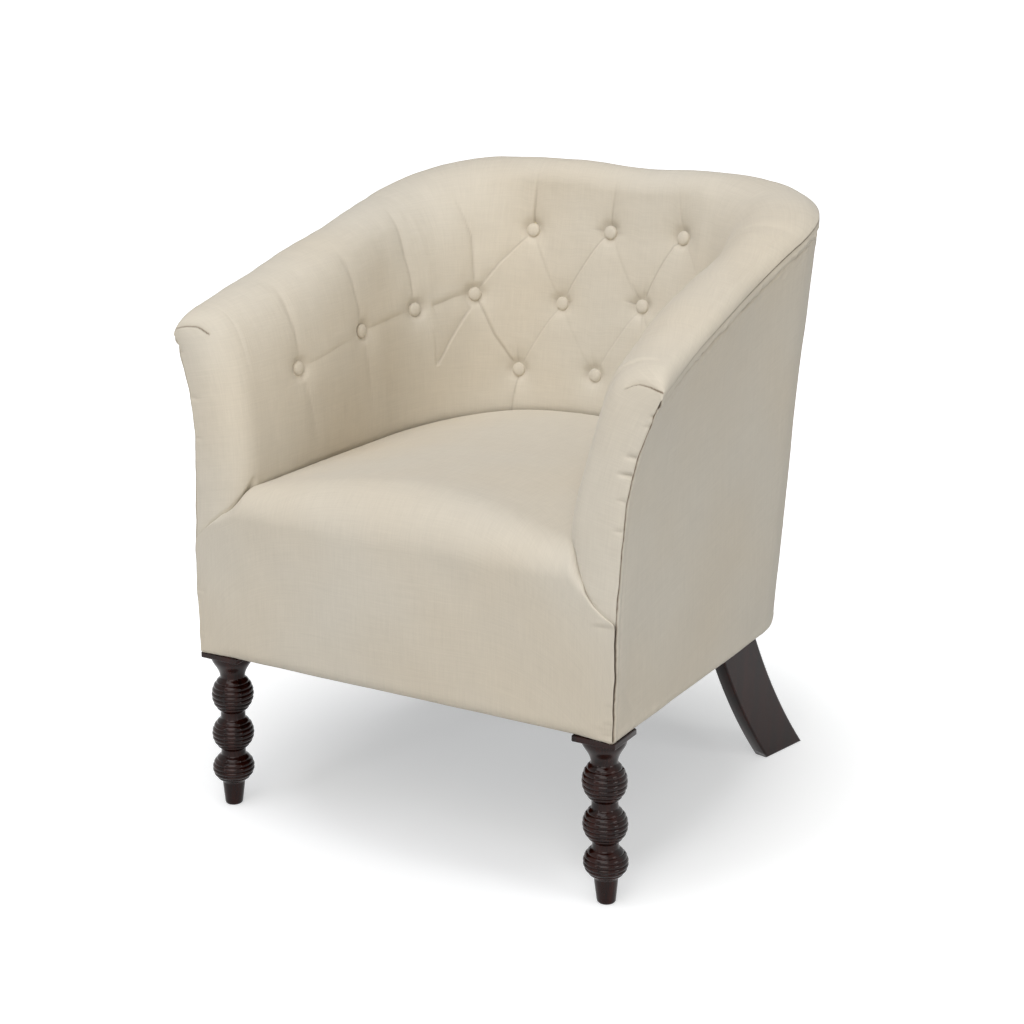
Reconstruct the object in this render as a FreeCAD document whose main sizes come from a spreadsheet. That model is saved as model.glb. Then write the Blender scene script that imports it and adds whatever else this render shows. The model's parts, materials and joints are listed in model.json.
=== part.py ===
import FreeCAD, Part
import Sketcher
import cmath
import math
import os

V = FreeCAD.Vector
UP = V(0, 0, 1)

# Driving sizes of the chair in millimetres, by the piece that carries them.
SIZES = {
    # Body: outer plan line, overall reach and the height of the legs.
    "body_half_width": 300,
    "overall_depth": 612,
    "overall_height": 802,
    "leg_height": 217,
    "back_rake": 34,
    "outer_corner_radius": 150,
    # Seat opening: inner plan line at seat height.
    "seat_half_width": 232,
    "seat_depth": 495,
    "inner_corner_radius": 150,
    "seat_side_height": 440,
    # Arms and back: the rolled top and the padded inner face.
    "arm_front_height": 650,
    "arm_foot_height": 364,
    "arm_front_lean": 28,
    "arm_roll_out": 22,
    "arm_flare": 40,
    "corner_roll_in": 12,
    "knee_height": 450,
    "knee_out": 2,
    "roll_depth": 95,
    "seam_drop": 27,
    "inner_front_lean": 13,
    "inner_back_lean": 37,
    "pad_fullness": 4,
    "front_rounding": 12,
    "front_rounding_depth": 24,
    # Plies of the upholstery.
    "ply_gap": 0.3,
    "outside_ply_gap": 1,
    "seat_side_gap": 2,
    "inside_cover_thickness": 12,
    "arm_facing_thickness": 6,
    "wall_foam_thickness": 22,
    "burlap_thickness": 1.2,
    "webbing_thickness": 1.5,
    "webbing_width": 50,
    "outside_cover_thickness": 4,
    "seam_gap": 1,
    "dust_cover_thickness": 1,
    # Seat cushion.
    "seat_crown": 32,
    "seat_fall": 8,
    "seat_front_radius": 70,
    "seat_side_radius": 34,
    "seat_cover_thickness": 6,
    "spring_cover_thickness": 1.5,
    "front_ear_width": 48,
    "front_ear_bow": 7,
    # Tufting.
    "button_radius": 10,
    "button_rim": 1.5,
    "button_dome": 3.5,
    "back_button_pitch": 113,
    "dimple_depth": 8.5,
    "dimple_radius": 32,
    "pleat_depth": 4,
    "pleat_width": 9,
    "twine_radius": 0.9,
    "twine_hole_radius": 1.3,
    "anchor_radius": 7,
    "anchor_thickness": 2,
    "anchor_gap": 1,
    # Timber frame.
    "timber_thickness": 25,
    "seat_rail_height": 112,
    "post_size": 45,
    "post_setback": 6,
    "post_top_cover": 36,
    "stile_setback": 6,
    "arm_rail_height": 40,
    "arm_rail_cover": 31,
    "upright_width": 25,
    "upright_setback": 1,
    "stile_width": 45,
    "tack_rail_height": 28,
    "upright_spacing": 222,
    "tack_rail_lift": 8,
    "front_block_reach": 90,
    "front_block_height": 60,
    "rear_block_height": 90,
    "rear_block_thickness": 30,
    # Seat springs.
    "spring_wire_radius": 1.8,
    "spring_pitch": 34,
    "spring_width": 44,
    "spring_spacing": 74,
    "clip_height": 6,
    "clip_width": 18,
    "clip_length": 14,
    # Turned front legs.
    "leg_inset_x": 28.4,
    "leg_inset_y": 31,
    "leg_slab_size": 57,
    "leg_slab_thickness": 8,
    "leg_splay": 6.3,
    "leg_cup_radius": 26.5,
    "leg_neck_radius": 15.8,
    "leg_ball_radius": 26.8,
    "leg_neck_one": 181.2,
    "leg_neck_two": 127.4,
    "leg_neck_three": 72.4,
    "leg_foot_height": 28.4,
    "leg_foot_top_radius": 13.5,
    "leg_foot_bottom_radius": 11,
    "leg_foot_edge": 2,
    "leg_neck_height": 6,
    "leg_cup_height": 14.7,
    "leg_ring_depth": 1.5,
    "hanger_bolt_radius": 4,
    "hanger_bolt_in_leg": 35,
    "hanger_bolt_in_post": 40,
    # Sabre rear legs.
    "rear_leg_thickness": 22,
    "rear_leg_foot_x": 282.4,
    "rear_leg_foot_y": 560.8,
    "rear_leg_foot_length": 82,
    "rear_leg_top_length": 78,
    "rear_leg_sweep": 127,
    "rear_leg_bow": 9,
    "rear_leg_turn": 13,
    "rear_leg_tenon_height": 104,
    "rear_leg_tenon_back": 12,
    "rear_bolt_radius": 4,
    "rear_bolt_head_radius": 9,
    "rear_bolt_head_height": 5,
    "rear_bolt_spacing": 44,
    # Wood screws of the blocks.
    "screw_radius": 2.2,
    "screw_head_radius": 4.5,
    "screw_length": 60,
}

# Places along the wall: 0 to 1 along an arm, 1 to 2 round the rear corner,
# 2 to 3 along the back to its middle. Each table has a share for each place.
PLACES = (0, 0.25, 0.5, 0.75, 1, 1.25, 1.5, 1.75, 2, 2.5, 3)
CREST_RISE_SHARES = (0, 0.14, 0.3, 0.465, 0.66, 0.79, 0.88, 0.945, 0.972, 0.993, 1)
ARM_SHARES = (1, 0.85, 0.65, 0.45, 0.3, 0.2, 0.1, 0.05, 0, 0, 0)
CREST_OUT_SHARES = (1, 0.77, 0.53, 0.27, 0.02, 0, 0, 0, 0, 0, 0)
BACK_SHARES = (0, 0, 0.1, 0.15, 0.25, 0.35, 0.5, 0.65, 0.8, 0.95, 1)
CORNER_SHARES = (0, 0, 0, 0, 0, 0.2, 0.5, 0.9, 1, 0.6, 0.25)
FRONT_LEAN_SHARES = (1, 0.5, 0, 0, 0, 0, 0, 0, 0, 0, 0)
INNER_FRONT_SHARES = (1, 0.4, 0, 0, 0, 0, 0, 0, 0, 0, 0)
INNER_BACK_SHARES = (0, 0, 0, 0.1, 0.3, 0.45, 0.6, 0.8, 0.95, 1, 1)
SECTION_PLACES = (0.12, 0.25, 0.5, 0.75, 0.8, 0.85, 0.9, 0.95, 1, 1.1, 1.2, 1.3, 1.4, 1.5, 1.6, 1.7,
                  1.8, 1.9, 2, 2.1, 2.2, 2.3, 2.4, 2.6, 3)

# Tufting: each button's place along the wall and its height share of the padded face.
TOP_ROW_SHARE = 1.0
MIDDLE_ROW_SHARE = 0.62
BOTTOM_ROW_SHARE = 0.275
PLEAT_END_SHARE = 0.16
PLEAT_ROLL_SHARES = (0.3, 0.65, 1)
PLEAT_OVER_SHARE = 0.4
SEAT_LINE_SHARE = 0.02
TIGHT_ROLL_SHARE = 0.85
TURNED_EDGE_SHARE = 0.97
FRONT_PLACE = 0.05
NEAR_SHARE = 0.02
BURLAP_END_SHARE = 0.85
STILE_PLACE = 1.2
BACK_SEAM_PLACE = 2.2
ROUNDING_SHARE = 0.3
SCREW_SHARES = (0.3, 0.7)
CUP_BULGE_SHARE = 0.2
BALL_RINGS = (7, 7, 6)
ARM_BUTTON_SHARES = ((0.36, 0.86), (0.7, 0.81), (1.0, 0.73))

doc = FreeCAD.newDocument("accent_chair")
sheet = doc.addObject("Spreadsheet::Sheet", "Sizes")
for line, (alias, amount) in enumerate(SIZES.items(), start=1):
    sheet.set("A%d" % line, alias)
    sheet.set("B%d" % line, str(amount))
    sheet.setAlias("B%d" % line, alias)
doc.recompute()


def size(alias):
    """A driving size read from the sheet."""
    return float(sheet.get(alias))


HALF_WIDTH = size("body_half_width")
FRONT = -size("overall_depth") / 2
BACK = size("overall_depth") / 2 - size("back_rake")
OUTER_RADIUS = size("outer_corner_radius")
ARM_LENGTH = BACK - OUTER_RADIUS - FRONT
CORNER_X = HALF_WIDTH - OUTER_RADIUS
CORNER_CENTRE = V(CORNER_X, FRONT + ARM_LENGTH, 0)
GAP = size("ply_gap")
FRAME_LOW = size("leg_height") + size("dust_cover_thickness")
RAIL_TOP = FRAME_LOW + size("seat_rail_height")
OUTER_PLY = size("outside_cover_thickness") + size("outside_ply_gap")
BAND_PLY = size("seat_cover_thickness") + GAP
COVER_PLY = size("inside_cover_thickness") + GAP
FOAM_PLY = COVER_PLY + size("wall_foam_thickness") + GAP
BURLAP_PLY = FOAM_PLY + size("burlap_thickness") + GAP
WEBBING_PLY = BURLAP_PLY + size("webbing_thickness") + GAP
OVERRUN = size("overall_depth") / 20
OUTER_EDGE = size("body_half_width") - OUTER_PLY


def along(shares, place):
    """The table's value at a place, straight between its entries."""
    place = min(max(place, PLACES[0]), PLACES[-1])
    for i in range(len(PLACES) - 1):
        if place <= PLACES[i + 1]:
            part = (place - PLACES[i]) / (PLACES[i + 1] - PLACES[i])
            return shares[i] + part * (shares[i + 1] - shares[i])


def plan(place):
    """Point of the outer plan line at a place, and the direction out of the wall there."""
    if place <= 1:
        return V(HALF_WIDTH, FRONT + place * ARM_LENGTH, 0), V(1, 0, 0)
    if place <= 2:
        turn = (place - 1) * math.pi / 2
        out = V(math.cos(turn), math.sin(turn), 0)
        return CORNER_CENTRE + out * OUTER_RADIUS, out
    return V(CORNER_X * (3 - place), BACK, 0), V(0, 1, 0)


def wall_depth(place):
    """Thickness of the wall at seat height, from the outer plan line to the inner one."""
    point, out = plan(place)
    radius = size("inner_corner_radius")
    side = size("seat_half_width")
    rear = FRONT + size("seat_depth")
    centre = V(side - radius, rear - radius, 0)
    offset = point - centre
    reach = offset.dot(out)
    span = radius ** 2 - (offset.dot(offset) - reach ** 2)
    if span > 0:
        depth = reach - math.sqrt(span)
        hit = point - out * depth
        if hit.x >= centre.x and hit.y >= centre.y:
            return depth
    if point.y - FRONT < size("seat_depth") and out.x > out.y:
        return (point.x - side) / out.x
    return (point.y - rear) / out.y


# A wall section is drawn on its own upright plane: a point there is a complex number,
# its real part the distance out of the outer plan line, its imaginary part the height.

def unit(number):
    return number / abs(number)


def arc_end_direction(start, end, direction):
    """Direction at the end of the arc that leaves start along the given direction."""
    return unit(end - start) ** 2 / direction


def arc_middle(start, end, direction):
    """Middle point of the arc that leaves start along the given direction."""
    half_turn = cmath.phase((end - start) / direction)
    return start + (end - start) / 2 * (1 - 1j * math.tan(half_turn / 2))


def arc_point(start, end, direction, share):
    """Point at a share of the arc's turn, and the arc's direction there."""
    half_turn = cmath.phase((end - start) / direction)
    if math.isclose(half_turn, 0, abs_tol=1e-6):
        return start + share * (end - start), direction
    reach = abs(end - start) * math.sin(share * half_turn) / math.sin(half_turn)
    point = start + reach * direction * cmath.exp(1j * share * half_turn)
    return point, direction * cmath.exp(2j * share * half_turn)


def biarc_joint(start, start_direction, end, end_direction):
    """Point where two tangent arcs meet that join the two ends along their directions."""
    span = end - start
    total = start_direction + end_direction
    along_total = (span.conjugate() * total).real
    bend = 2 * (1 - (start_direction.conjugate() * end_direction).real)
    reach = (math.sqrt(along_total ** 2 + bend * abs(span) ** 2) - along_total) / bend
    return (start + end + reach * (start_direction - end_direction)) / 2


class Profile:
    """The wall's section at one place: padded face, rolled top and outer face."""

    def __init__(self, place, side=1):
        self.place = place
        self.side = side
        arm = along(ARM_SHARES, place)
        back = along(BACK_SHARES, place)
        corner = along(CORNER_SHARES, place)
        rise = along(CREST_RISE_SHARES, place)
        low = size("arm_front_height")
        crest_height = low + rise * (size("overall_height") - low)
        crest_out = along(CREST_OUT_SHARES, place) * size("arm_roll_out") - corner * size("corner_roll_in")
        seam_height = crest_height - size("seam_drop")
        seam_out = arm * size("arm_flare") + back * size("back_rake")
        knee_share = (size("knee_height") - size("leg_height"))
        knee_share /= size("overall_height") - size("seam_drop") - size("leg_height")
        knee_out = arm * size("knee_out") + back * size("back_rake") * knee_share
        lean = along(INNER_FRONT_SHARES, place) * size("inner_front_lean")
        lean += along(INNER_BACK_SHARES, place) * size("inner_back_lean")
        inner = -wall_depth(place)

        self.foot = complex(inner, size("arm_foot_height"))
        self.seat = complex(inner, size("seat_side_height"))
        self.roll = complex(inner + lean, crest_height - size("roll_depth"))
        self.crest = complex(crest_out, crest_height)
        self.seam = complex(seam_out, seam_height)
        self.knee = complex(knee_out, size("knee_height"))
        self.base = complex(0, size("leg_height"))

        chord = self.roll - self.seat
        half_turn = 2 * math.atan(2 * size("pad_fullness") / abs(chord))
        seat_way = unit(chord) * cmath.exp(1j * half_turn)
        roll_way = arc_end_direction(self.seat, self.roll, seat_way)
        self.joint = biarc_joint(self.roll, roll_way, self.crest, 1)
        joint_way = arc_end_direction(self.roll, self.joint, roll_way)
        base_way = unit(self.base - self.knee)
        seam_out_way = unit(self.knee - self.seam) ** 2 / base_way
        self.face = (self.seat, self.roll, seat_way)
        self.rise = (self.roll, self.joint, roll_way)
        self.fall = (self.joint, self.crest, joint_way)
        self.over = (self.crest, self.seam, 1)
        self.outer = (self.seam, self.knee, seam_out_way)
        self.base_way = base_way

    def inset_arc(self, arc, inset, end_inset=None):
        """Start, middle and end of an arc moved into the wall, by one depth or from one to another."""
        start, end, way = arc
        end_inset = inset if end_inset is None else end_inset
        middle = arc_middle(start, end, way)
        points = (start, middle, end)
        ways = (way, unit(end - start), arc_end_direction(start, end, way))
        insets = (inset, (inset + end_inset) / 2, end_inset)
        return [p - depth * 1j * w for p, w, depth in zip(points, ways, insets)]

    def padded_arcs(self, inset, over=None):
        """The padded face and the roll moved into the wall, less deep where the roll is tight."""
        chord = self.seam - self.crest
        roll_radius = abs(chord) ** 2 / 2 / -chord.imag
        over_inset = min(inset, roll_radius * TIGHT_ROLL_SHARE)
        arcs = [self.inset_arc(self.face, inset), self.inset_arc(self.rise, inset)]
        arcs.append(self.inset_arc(self.fall, inset, over_inset))
        arcs.append(self.inset_arc(over or self.over, over_inset))
        return arcs

    def turned_edge(self):
        """The roll's outer arc up to the turned-in edge of the ply, and the way out of it there."""
        point, way = arc_point(*self.over, TURNED_EDGE_SHARE)
        return (self.crest, point, 1), 1j * way

    def outer_reach(self, height):
        """Distance of the outer face at a height above the base."""
        if height <= self.knee.imag:
            share = (height - self.base.imag) / (self.knee.imag - self.base.imag)
            return share * self.knee.real
        low, high = 0.0, 1.0
        for _ in range(40):
            share = (low + high) / 2
            point, _way = arc_point(*self.outer, share)
            if point.imag > height:
                low = share
            else:
                high = share
        return point.real

    def place_point(self, number):
        """The point in the chair; the arm's front leans back above its foot."""
        point, out = plan(self.place)
        tilt = along(FRONT_LEAN_SHARES, self.place) * LEAN_SLOPE
        back = tilt * (number.imag - size("arm_foot_height"))
        spot = point + out * number.real + V(0, back, number.imag)
        return V(spot.x * self.side, spot.y, spot.z)


LEAN_SLOPE = size("arm_front_lean") / (size("arm_front_height") - size("arm_foot_height"))


def curve(points):
    """An arc through three points, or a line where they lie in one."""
    start, middle, end = points
    if (middle - start).cross(end - start).Length < (end - start).Length * size("ply_gap") / 30:
        return Part.LineSegment(start, end).toShape()
    return Part.Arc(start, middle, end).toShape()


def section_wire(profile, pieces):
    """Closed wire from arcs, three numbers each, and corners, one number each."""
    edges = []
    last = None
    first = None
    for piece in pieces:
        points = [profile.place_point(n) for n in piece]
        if first is None:
            first = points[0]
        if last is not None and last.distanceToPoint(points[0]) > 1e-6:
            edges.append(Part.LineSegment(last, points[0]).toShape())
        if len(points) == 3:
            edges.append(curve(points))
        last = points[-1]
    edges.append(Part.LineSegment(last, first).toShape())
    return Part.Wire(edges)


def block_pieces(profile, inset, edge):
    """The whole wall, drawn in by inset on its padded side."""
    total = inset + edge
    outer = (OUTER_PLY if inset else 0) + edge / 4
    arcs = profile.padded_arcs(total)
    outer_arc = profile.inset_arc(profile.outer, outer)
    outer_arc[0] = arcs[-1][-1]
    base = profile.base - outer * 1j * profile.base_way
    foot = complex(profile.foot.real + total, profile.foot.imag)
    base = complex(base.real, profile.foot.imag)
    return [[foot]] + arcs + [outer_arc, [base]]


def hollow_pieces(profile, inset, edge):
    """What lies under a ply: the wall drawn in by inset, open to the outer side and below."""
    total = inset + edge
    over, outward = profile.turned_edge()
    arcs = profile.padded_arcs(total, over)
    foot = complex(profile.foot.real + total, profile.foot.imag - OVERRUN)
    beyond = over[1] + OVERRUN * outward
    below = complex(beyond.real, foot.imag)
    return [[foot]] + arcs + [[beyond], [below]]


def mirrored(shape):
    return shape.mirror(V(0, 0, 0), V(1, 0, 0))


def wall_loft(pieces, inset, front):
    """Loft of a wall form from the right arm's front round the back to the left arm's."""
    rounding = size("front_rounding")
    depth = size("front_rounding_depth")
    rows = [(front / ARM_LENGTH, rounding), ((front + depth / 4) / ARM_LENGTH, rounding * ROUNDING_SHARE)]
    rows += [((front + depth) / ARM_LENGTH, 0)]
    rows += [(place, 0) for place in SECTION_PLACES]
    wires = []
    for side, side_rows in ((1, rows), (-1, rows[-2::-1])):
        for place, edge in side_rows:
            profile = Profile(place, side)
            wires.append(section_wire(profile, pieces(profile, inset, edge)))
    return Part.makeLoft(wires, True, True)


def run_loft(pieces, start, end=None):
    """Loft of a form along the wall between two places, or round the back to the start's mirror."""
    inner = [p for p in (0,) + SECTION_PLACES if p > start and (end is None or p < end)]
    stops = [(start, 1)] + [(p, 1) for p in inner]
    if end is None:
        stops += [(p, -1) for p in reversed(inner[:-1])] + [(start, -1)]
    else:
        stops.append((end, 1))
    wires = []
    for place, side in stops:
        profile = Profile(place, side)
        wires.append(section_wire(profile, pieces(profile)))
    return Part.makeLoft(wires, True, True)


def add(label, shape):
    """One named piece of the chair, shaped by Part's own functions."""
    piece = doc.addObject("Part::Feature", label)
    piece.Label = label
    piece.Shape = shape
    PIECES.append(piece)
    return piece


def pair(label, shape):
    """A right-hand piece and its left-hand twin."""
    add("right_" + label, shape)
    add("left_" + label, mirrored(shape))


def group(label, shapes):
    """Like pieces that share a name, each a solid of its own."""
    return add(label, Part.makeCompound([solid for shape in shapes for solid in shape.Solids]))


def fitted(shape, *others):
    """A piece cut to fit against others: the largest solid that is left."""
    return max(shape.cut(list(others)).Solids, key=lambda solid: solid.Volume)


def both_sides(shape):
    return [shape, mirrored(shape)]


def plan_prism(corners, low, high):
    """Upright prism over a plan outline of points and arcs (three points each)."""
    edges = []
    for i, piece in enumerate(corners):
        if len(piece) == 3:
            edges.append(Part.Arc(*piece).toShape())
        following = corners[(i + 1) % len(corners)][0]
        if piece[-1].distanceToPoint(following) > GAP / 100:
            edges.append(Part.LineSegment(piece[-1], following).toShape())
    face = Part.Face(Part.Wire(edges))
    face.translate(V(0, 0, low))
    return face.extrude(V(0, 0, high - low))


def rounded_plan(half_width, rear, radius, front):
    """Plan outline that is square in front and round at both rear corners."""
    centre = V(half_width - radius, rear - radius, 0)
    slant = radius * math.sqrt(0.5)
    right = (V(half_width, centre.y, 0), centre + V(slant, slant, 0), V(centre.x, rear, 0))
    left = tuple(V(-p.x, p.y, 0) for p in reversed(right))
    return [(V(-half_width, front, 0),), (V(half_width, front, 0),), right, left]


def side_prism(points, half_width):
    """Prism across the chair over a side outline of (depth from the front, height) pairs."""
    wire = Part.makePolygon([V(-half_width, FRONT + y, z) for y, z in points + points[:1]])
    return Part.Face(wire).extrude(V(2 * half_width, 0, 0))


def front_prism(corners, depth_from, depth_to):
    """Prism from front to rear over a front outline of complex numbers, x and height."""
    edges = []
    for i, piece in enumerate(corners):
        points = [V(p.real, FRONT + depth_from, p.imag) for p in piece]
        following = corners[(i + 1) % len(corners)][0]
        following = V(following.real, FRONT + depth_from, following.imag)
        if len(points) == 3:
            edges.append(curve(points))
        if points[-1].distanceToPoint(following) > GAP / 100:
            edges.append(Part.LineSegment(points[-1], following).toShape())
    return Part.Face(Part.Wire(edges)).extrude(V(0, depth_to - depth_from, 0))


def rod(start, direction, radius, length):
    return Part.makeCylinder(radius, length, start, direction)


PIECES = []
TOP = size("overall_height") + OVERRUN
LEAN_TOP = TOP - size("arm_foot_height")


def leaning_edge(depth):
    """Side view of a line upright to the arm's foot and leaning back above it."""
    foot = size("arm_foot_height")
    return [(depth, 0), (depth, foot), (depth + LEAN_TOP * LEAN_SLOPE, foot + LEAN_TOP)]


# Seat cushion: a crowned form that falls over the front in one waterfall.

SEAT_LOW = RAIL_TOP + size("clip_height") + size("spring_cover_thickness") + 2 * GAP
SEAT_SHARES = (-1.1, -0.8, -0.4, 0, 0.4, 0.8, 1.1)


def seat_section(share, inset, low):
    """Side section of the seat at a share of its half width."""
    crown = 1 - share ** 2
    top = size("seat_side_height") + size("seat_crown") * crown - inset
    side_radius = size("seat_side_radius")
    radius = side_radius + (size("seat_front_radius") - side_radius) * crown - inset
    front = FRONT + inset
    rear = FRONT + size("seat_depth") + OVERRUN
    x = share * size("seat_half_width")
    brow = complex(front + radius, top)
    heel = complex(rear, top - size("seat_fall"))
    middle = arc_middle(brow, heel, 1)
    slant = radius * math.sqrt(0.5)
    edges = [
        Part.LineSegment(V(x, front, low), V(x, front, top - radius)).toShape(),
        Part.Arc(V(x, front, top - radius), V(x, front + radius - slant, top - radius + slant),
                 V(x, front + radius, top)).toShape(),
        Part.Arc(V(x, brow.real, top), V(x, middle.real, middle.imag),
                 V(x, heel.real, heel.imag)).toShape(),
        Part.LineSegment(V(x, heel.real, heel.imag), V(x, rear, low)).toShape(),
        Part.LineSegment(V(x, rear, low), V(x, front, low)).toShape(),
    ]
    return Part.Wire(edges)


def seat_block(inset, low):
    """The seat drawn in by inset, down to a height."""
    loft = Part.makeLoft([seat_section(share, inset, low) for share in SEAT_SHARES], True, False)
    draw = size("seat_side_gap") + inset
    outline = rounded_plan(size("seat_half_width") - draw, FRONT + size("seat_depth") - draw,
                           size("inner_corner_radius") - draw, FRONT - OVERRUN)
    return loft.common(plan_prism(outline, low - OVERRUN, TOP))


def front_band(grow, depth_from, depth_to):
    """The seat cover's front, out to both corners under the arm fronts."""
    side = HALF_WIDTH + (OVERRUN if grow else 0)
    band_top = size("seat_side_height") + size("seat_crown") - size("seat_front_radius") - GAP + grow
    ear_foot = complex(side, size("arm_foot_height") + grow)
    ear_top = complex(HALF_WIDTH - size("front_ear_width") - grow, band_top)
    middle = (ear_foot + ear_top) / 2 + 1j * unit(ear_top - ear_foot) * size("front_ear_bow")
    low = size("leg_height") - grow
    right = (ear_foot, middle, ear_top)
    left = tuple(complex(-p.real, p.imag) for p in reversed(right))
    outline = [(complex(-side, low),), (complex(side, low),), right, left]
    return front_prism(outline, depth_from, depth_to)


seat_cover = seat_block(0, SEAT_LOW).cut(seat_block(size("seat_cover_thickness"), SEAT_LOW - OVERRUN))
seat_cover = seat_cover.fuse(front_band(0, 0, size("seat_cover_thickness"))).removeSplitter()
add("seat_cover", seat_cover)
add("seat_foam", seat_block(size("seat_cover_thickness") + GAP, SEAT_LOW))

# Tufting: buttons in three rows on the back and one row on each arm.


def place_at(x):
    """Place along the wall whose padded face is at a distance from the chair's middle."""
    low, high = 1.0, 3.0
    for _ in range(40):
        place = (low + high) / 2
        point, out = plan(place)
        if (point - out * wall_depth(place)).x > x:
            low = place
        else:
            high = place
    return low


def face_spot(place, share, side=1):
    """Point of the padded face, and the direction out of it towards the seat."""
    points = []
    for stop in (place - NEAR_SHARE, place + NEAR_SHARE, place):
        profile = Profile(stop, side)
        point, way = arc_point(*profile.face, share)
        points.append(profile.place_point(point))
    spot = points[-1]
    upward = profile.place_point(point + way) - spot
    out = (points[1] - points[0]).cross(upward).normalize()
    return spot, out * math.copysign(1, out.dot(profile.place_point(point + 1j * way) - spot))


def roll_spot(place, part, share, side=1):
    """Point of the rolled top, and the direction out of it."""
    profile = Profile(place, side)
    point, way = arc_point(*(profile.rise, profile.fall)[part], share)
    spot = profile.place_point(point)
    return spot, (profile.place_point(point + 1j * way) - spot).normalize()


PITCH = size("back_button_pitch")
TOP_PLACES = [place_at(PITCH), place_at(0)]
MIDDLE_PLACES = [place_at(PITCH * 1.5), place_at(PITCH / 2)]
BUTTONS = []
for side in (1, -1):
    for place in TOP_PLACES:
        if side == 1 or place < TOP_PLACES[-1]:
            BUTTONS += [(place, TOP_ROW_SHARE, side), (place, BOTTOM_ROW_SHARE, side)]
    BUTTONS += [(place, MIDDLE_ROW_SHARE, side) for place in MIDDLE_PLACES]
    BUTTONS += [(place, share, side) for place, share in ARM_BUTTON_SHARES]


def pleat(spots):
    """Wedge that cuts a fold along spots of the padded face."""
    wires = []
    for i, (spot, out) in enumerate(spots):
        before = spots[max(i - 1, 0)][0]
        after = spots[min(i + 1, len(spots) - 1)][0]
        across = (after - before).cross(out).normalize() * size("pleat_width")
        crest = spot + out * size("pleat_depth")
        keel = spot - out * size("pleat_depth")
        wires.append(Part.makePolygon([keel, crest + across, crest - across, keel]))
    return Part.makeLoft(wires, True, True)


def slanting_pleat(start, end, side):
    """Fold between two buttons, each a place and a height share."""
    steps = 3
    spots = []
    for i in range(steps + 1):
        part = PLEAT_END_SHARE + i / steps * (1 - 2 * PLEAT_END_SHARE)
        place = start[0] + part * (end[0] - start[0])
        share = start[1] + part * (end[1] - start[1])
        spots.append(face_spot(place, share, side))
    return pleat(spots)


pleats = []
for side in (1, -1):
    for start, outer_end in ((TOP_PLACES[0], MIDDLE_PLACES[0]), (TOP_PLACES[0], MIDDLE_PLACES[1]),
                             (TOP_PLACES[1], MIDDLE_PLACES[1])):
        for row in (TOP_ROW_SHARE, BOTTOM_ROW_SHARE):
            pleats.append(slanting_pleat((start, row), (outer_end, MIDDLE_ROW_SHARE), side))
    for place in TOP_PLACES:
        if side == 1 or place < TOP_PLACES[-1]:
            spots = [roll_spot(place, 0, share, side) for share in PLEAT_ROLL_SHARES]
            spots.append(roll_spot(place, 1, PLEAT_OVER_SHARE, side))
            pleats.append(pleat(spots))
            pleats.append(slanting_pleat((place, BOTTOM_ROW_SHARE), (place, SEAT_LINE_SHARE), side))

dimples, buttons, twines, twine_holes, anchors = [], [], [], [], []
for place, share, side in BUTTONS:
    spot, out = face_spot(place, share, side)
    seat_of_button = spot - out * size("dimple_depth")
    flare = (size("dimple_radius") - size("button_radius")) / size("dimple_depth")
    rise = size("dimple_depth") + size("pleat_depth")
    dimple = Part.makeCone(size("button_radius"), size("button_radius") + flare * rise,
                           rise, seat_of_button, out)
    twine_length = WEBBING_PLY + size("anchor_gap") - size("dimple_depth")
    twines.append(rod(seat_of_button, out * -1, size("twine_radius"), twine_length))
    twine_holes.append(rod(seat_of_button, out * -1, size("twine_hole_radius"), twine_length))
    dimples.append(dimple.fuse(twine_holes[-1]))
    anchors.append(rod(seat_of_button - out * twine_length, out * -1, size("anchor_radius"),
                       size("anchor_thickness")))
    rim = rod(V(0, 0, 0), UP, size("button_radius"), size("button_rim"))
    ball_radius = (size("button_radius") ** 2 + size("button_dome") ** 2) / 2 / size("button_dome")
    ball_centre = V(0, 0, size("button_rim") + size("button_dome") - ball_radius)
    dome = Part.makeSphere(ball_radius, ball_centre)
    lid = rod(V(0, 0, size("button_rim")), UP, size("button_radius"), size("button_radius"))
    button = rim.fuse(dome.common(lid)).removeSplitter()
    button.Placement = FreeCAD.Placement(seat_of_button, FreeCAD.Rotation(UP, out))
    buttons.append(button)

# Inside cover: one padded ply over both arms and the back, from the seat over the rolled top.

inside_cover = wall_loft(block_pieces, 0, 0)
inside_cover = inside_cover.cut(wall_loft(hollow_pieces, COVER_PLY - GAP, size("arm_facing_thickness")))
inside_cover = inside_cover.cut(front_band(size("seam_gap"), -OVERRUN, BAND_PLY))
inside_cover = inside_cover.cut(dimples)
inside_cover = fitted(inside_cover, *pleats)
add("inside_cover", inside_cover)
group("tuft_buttons", buttons)
group("button_twines", twines)
group("button_anchors", anchors)

# Timber frame.

FOOT = size("arm_foot_height")
STOCK = size("timber_thickness")
POST_FRONT = BAND_PLY + size("post_setback")
POST_REAR = POST_FRONT + size("post_size")
POST_TOP = size("arm_front_height") - size("post_top_cover")
POST_PLACE = (POST_REAR + size("arm_front_lean")) / ARM_LENGTH


def prism_on(place, corners, width):
    """Upright board on a wall section: its outline across the wall, its width along it."""
    profile = Profile(place)
    _point, out = plan(place)
    across = UP.cross(out)
    points = [profile.place_point(n) - across * width / 2 for n in corners]
    return Part.Face(Part.makePolygon(points + points[:1])).extrude(across * width)


def board_outline(profile, setback, low, high):
    """Section outline of a raked board inside the outer face."""
    knee = profile.knee.imag
    outer = [complex(profile.outer_reach(z) - OUTER_PLY - setback, z) for z in (low, knee, high)]
    return outer + [point - STOCK for point in reversed(outer)]


def rail_low(profile):
    """Height of the under side of the rail below the rolled top."""
    return profile.crest.imag - size("arm_rail_cover") - size("arm_rail_height")


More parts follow.
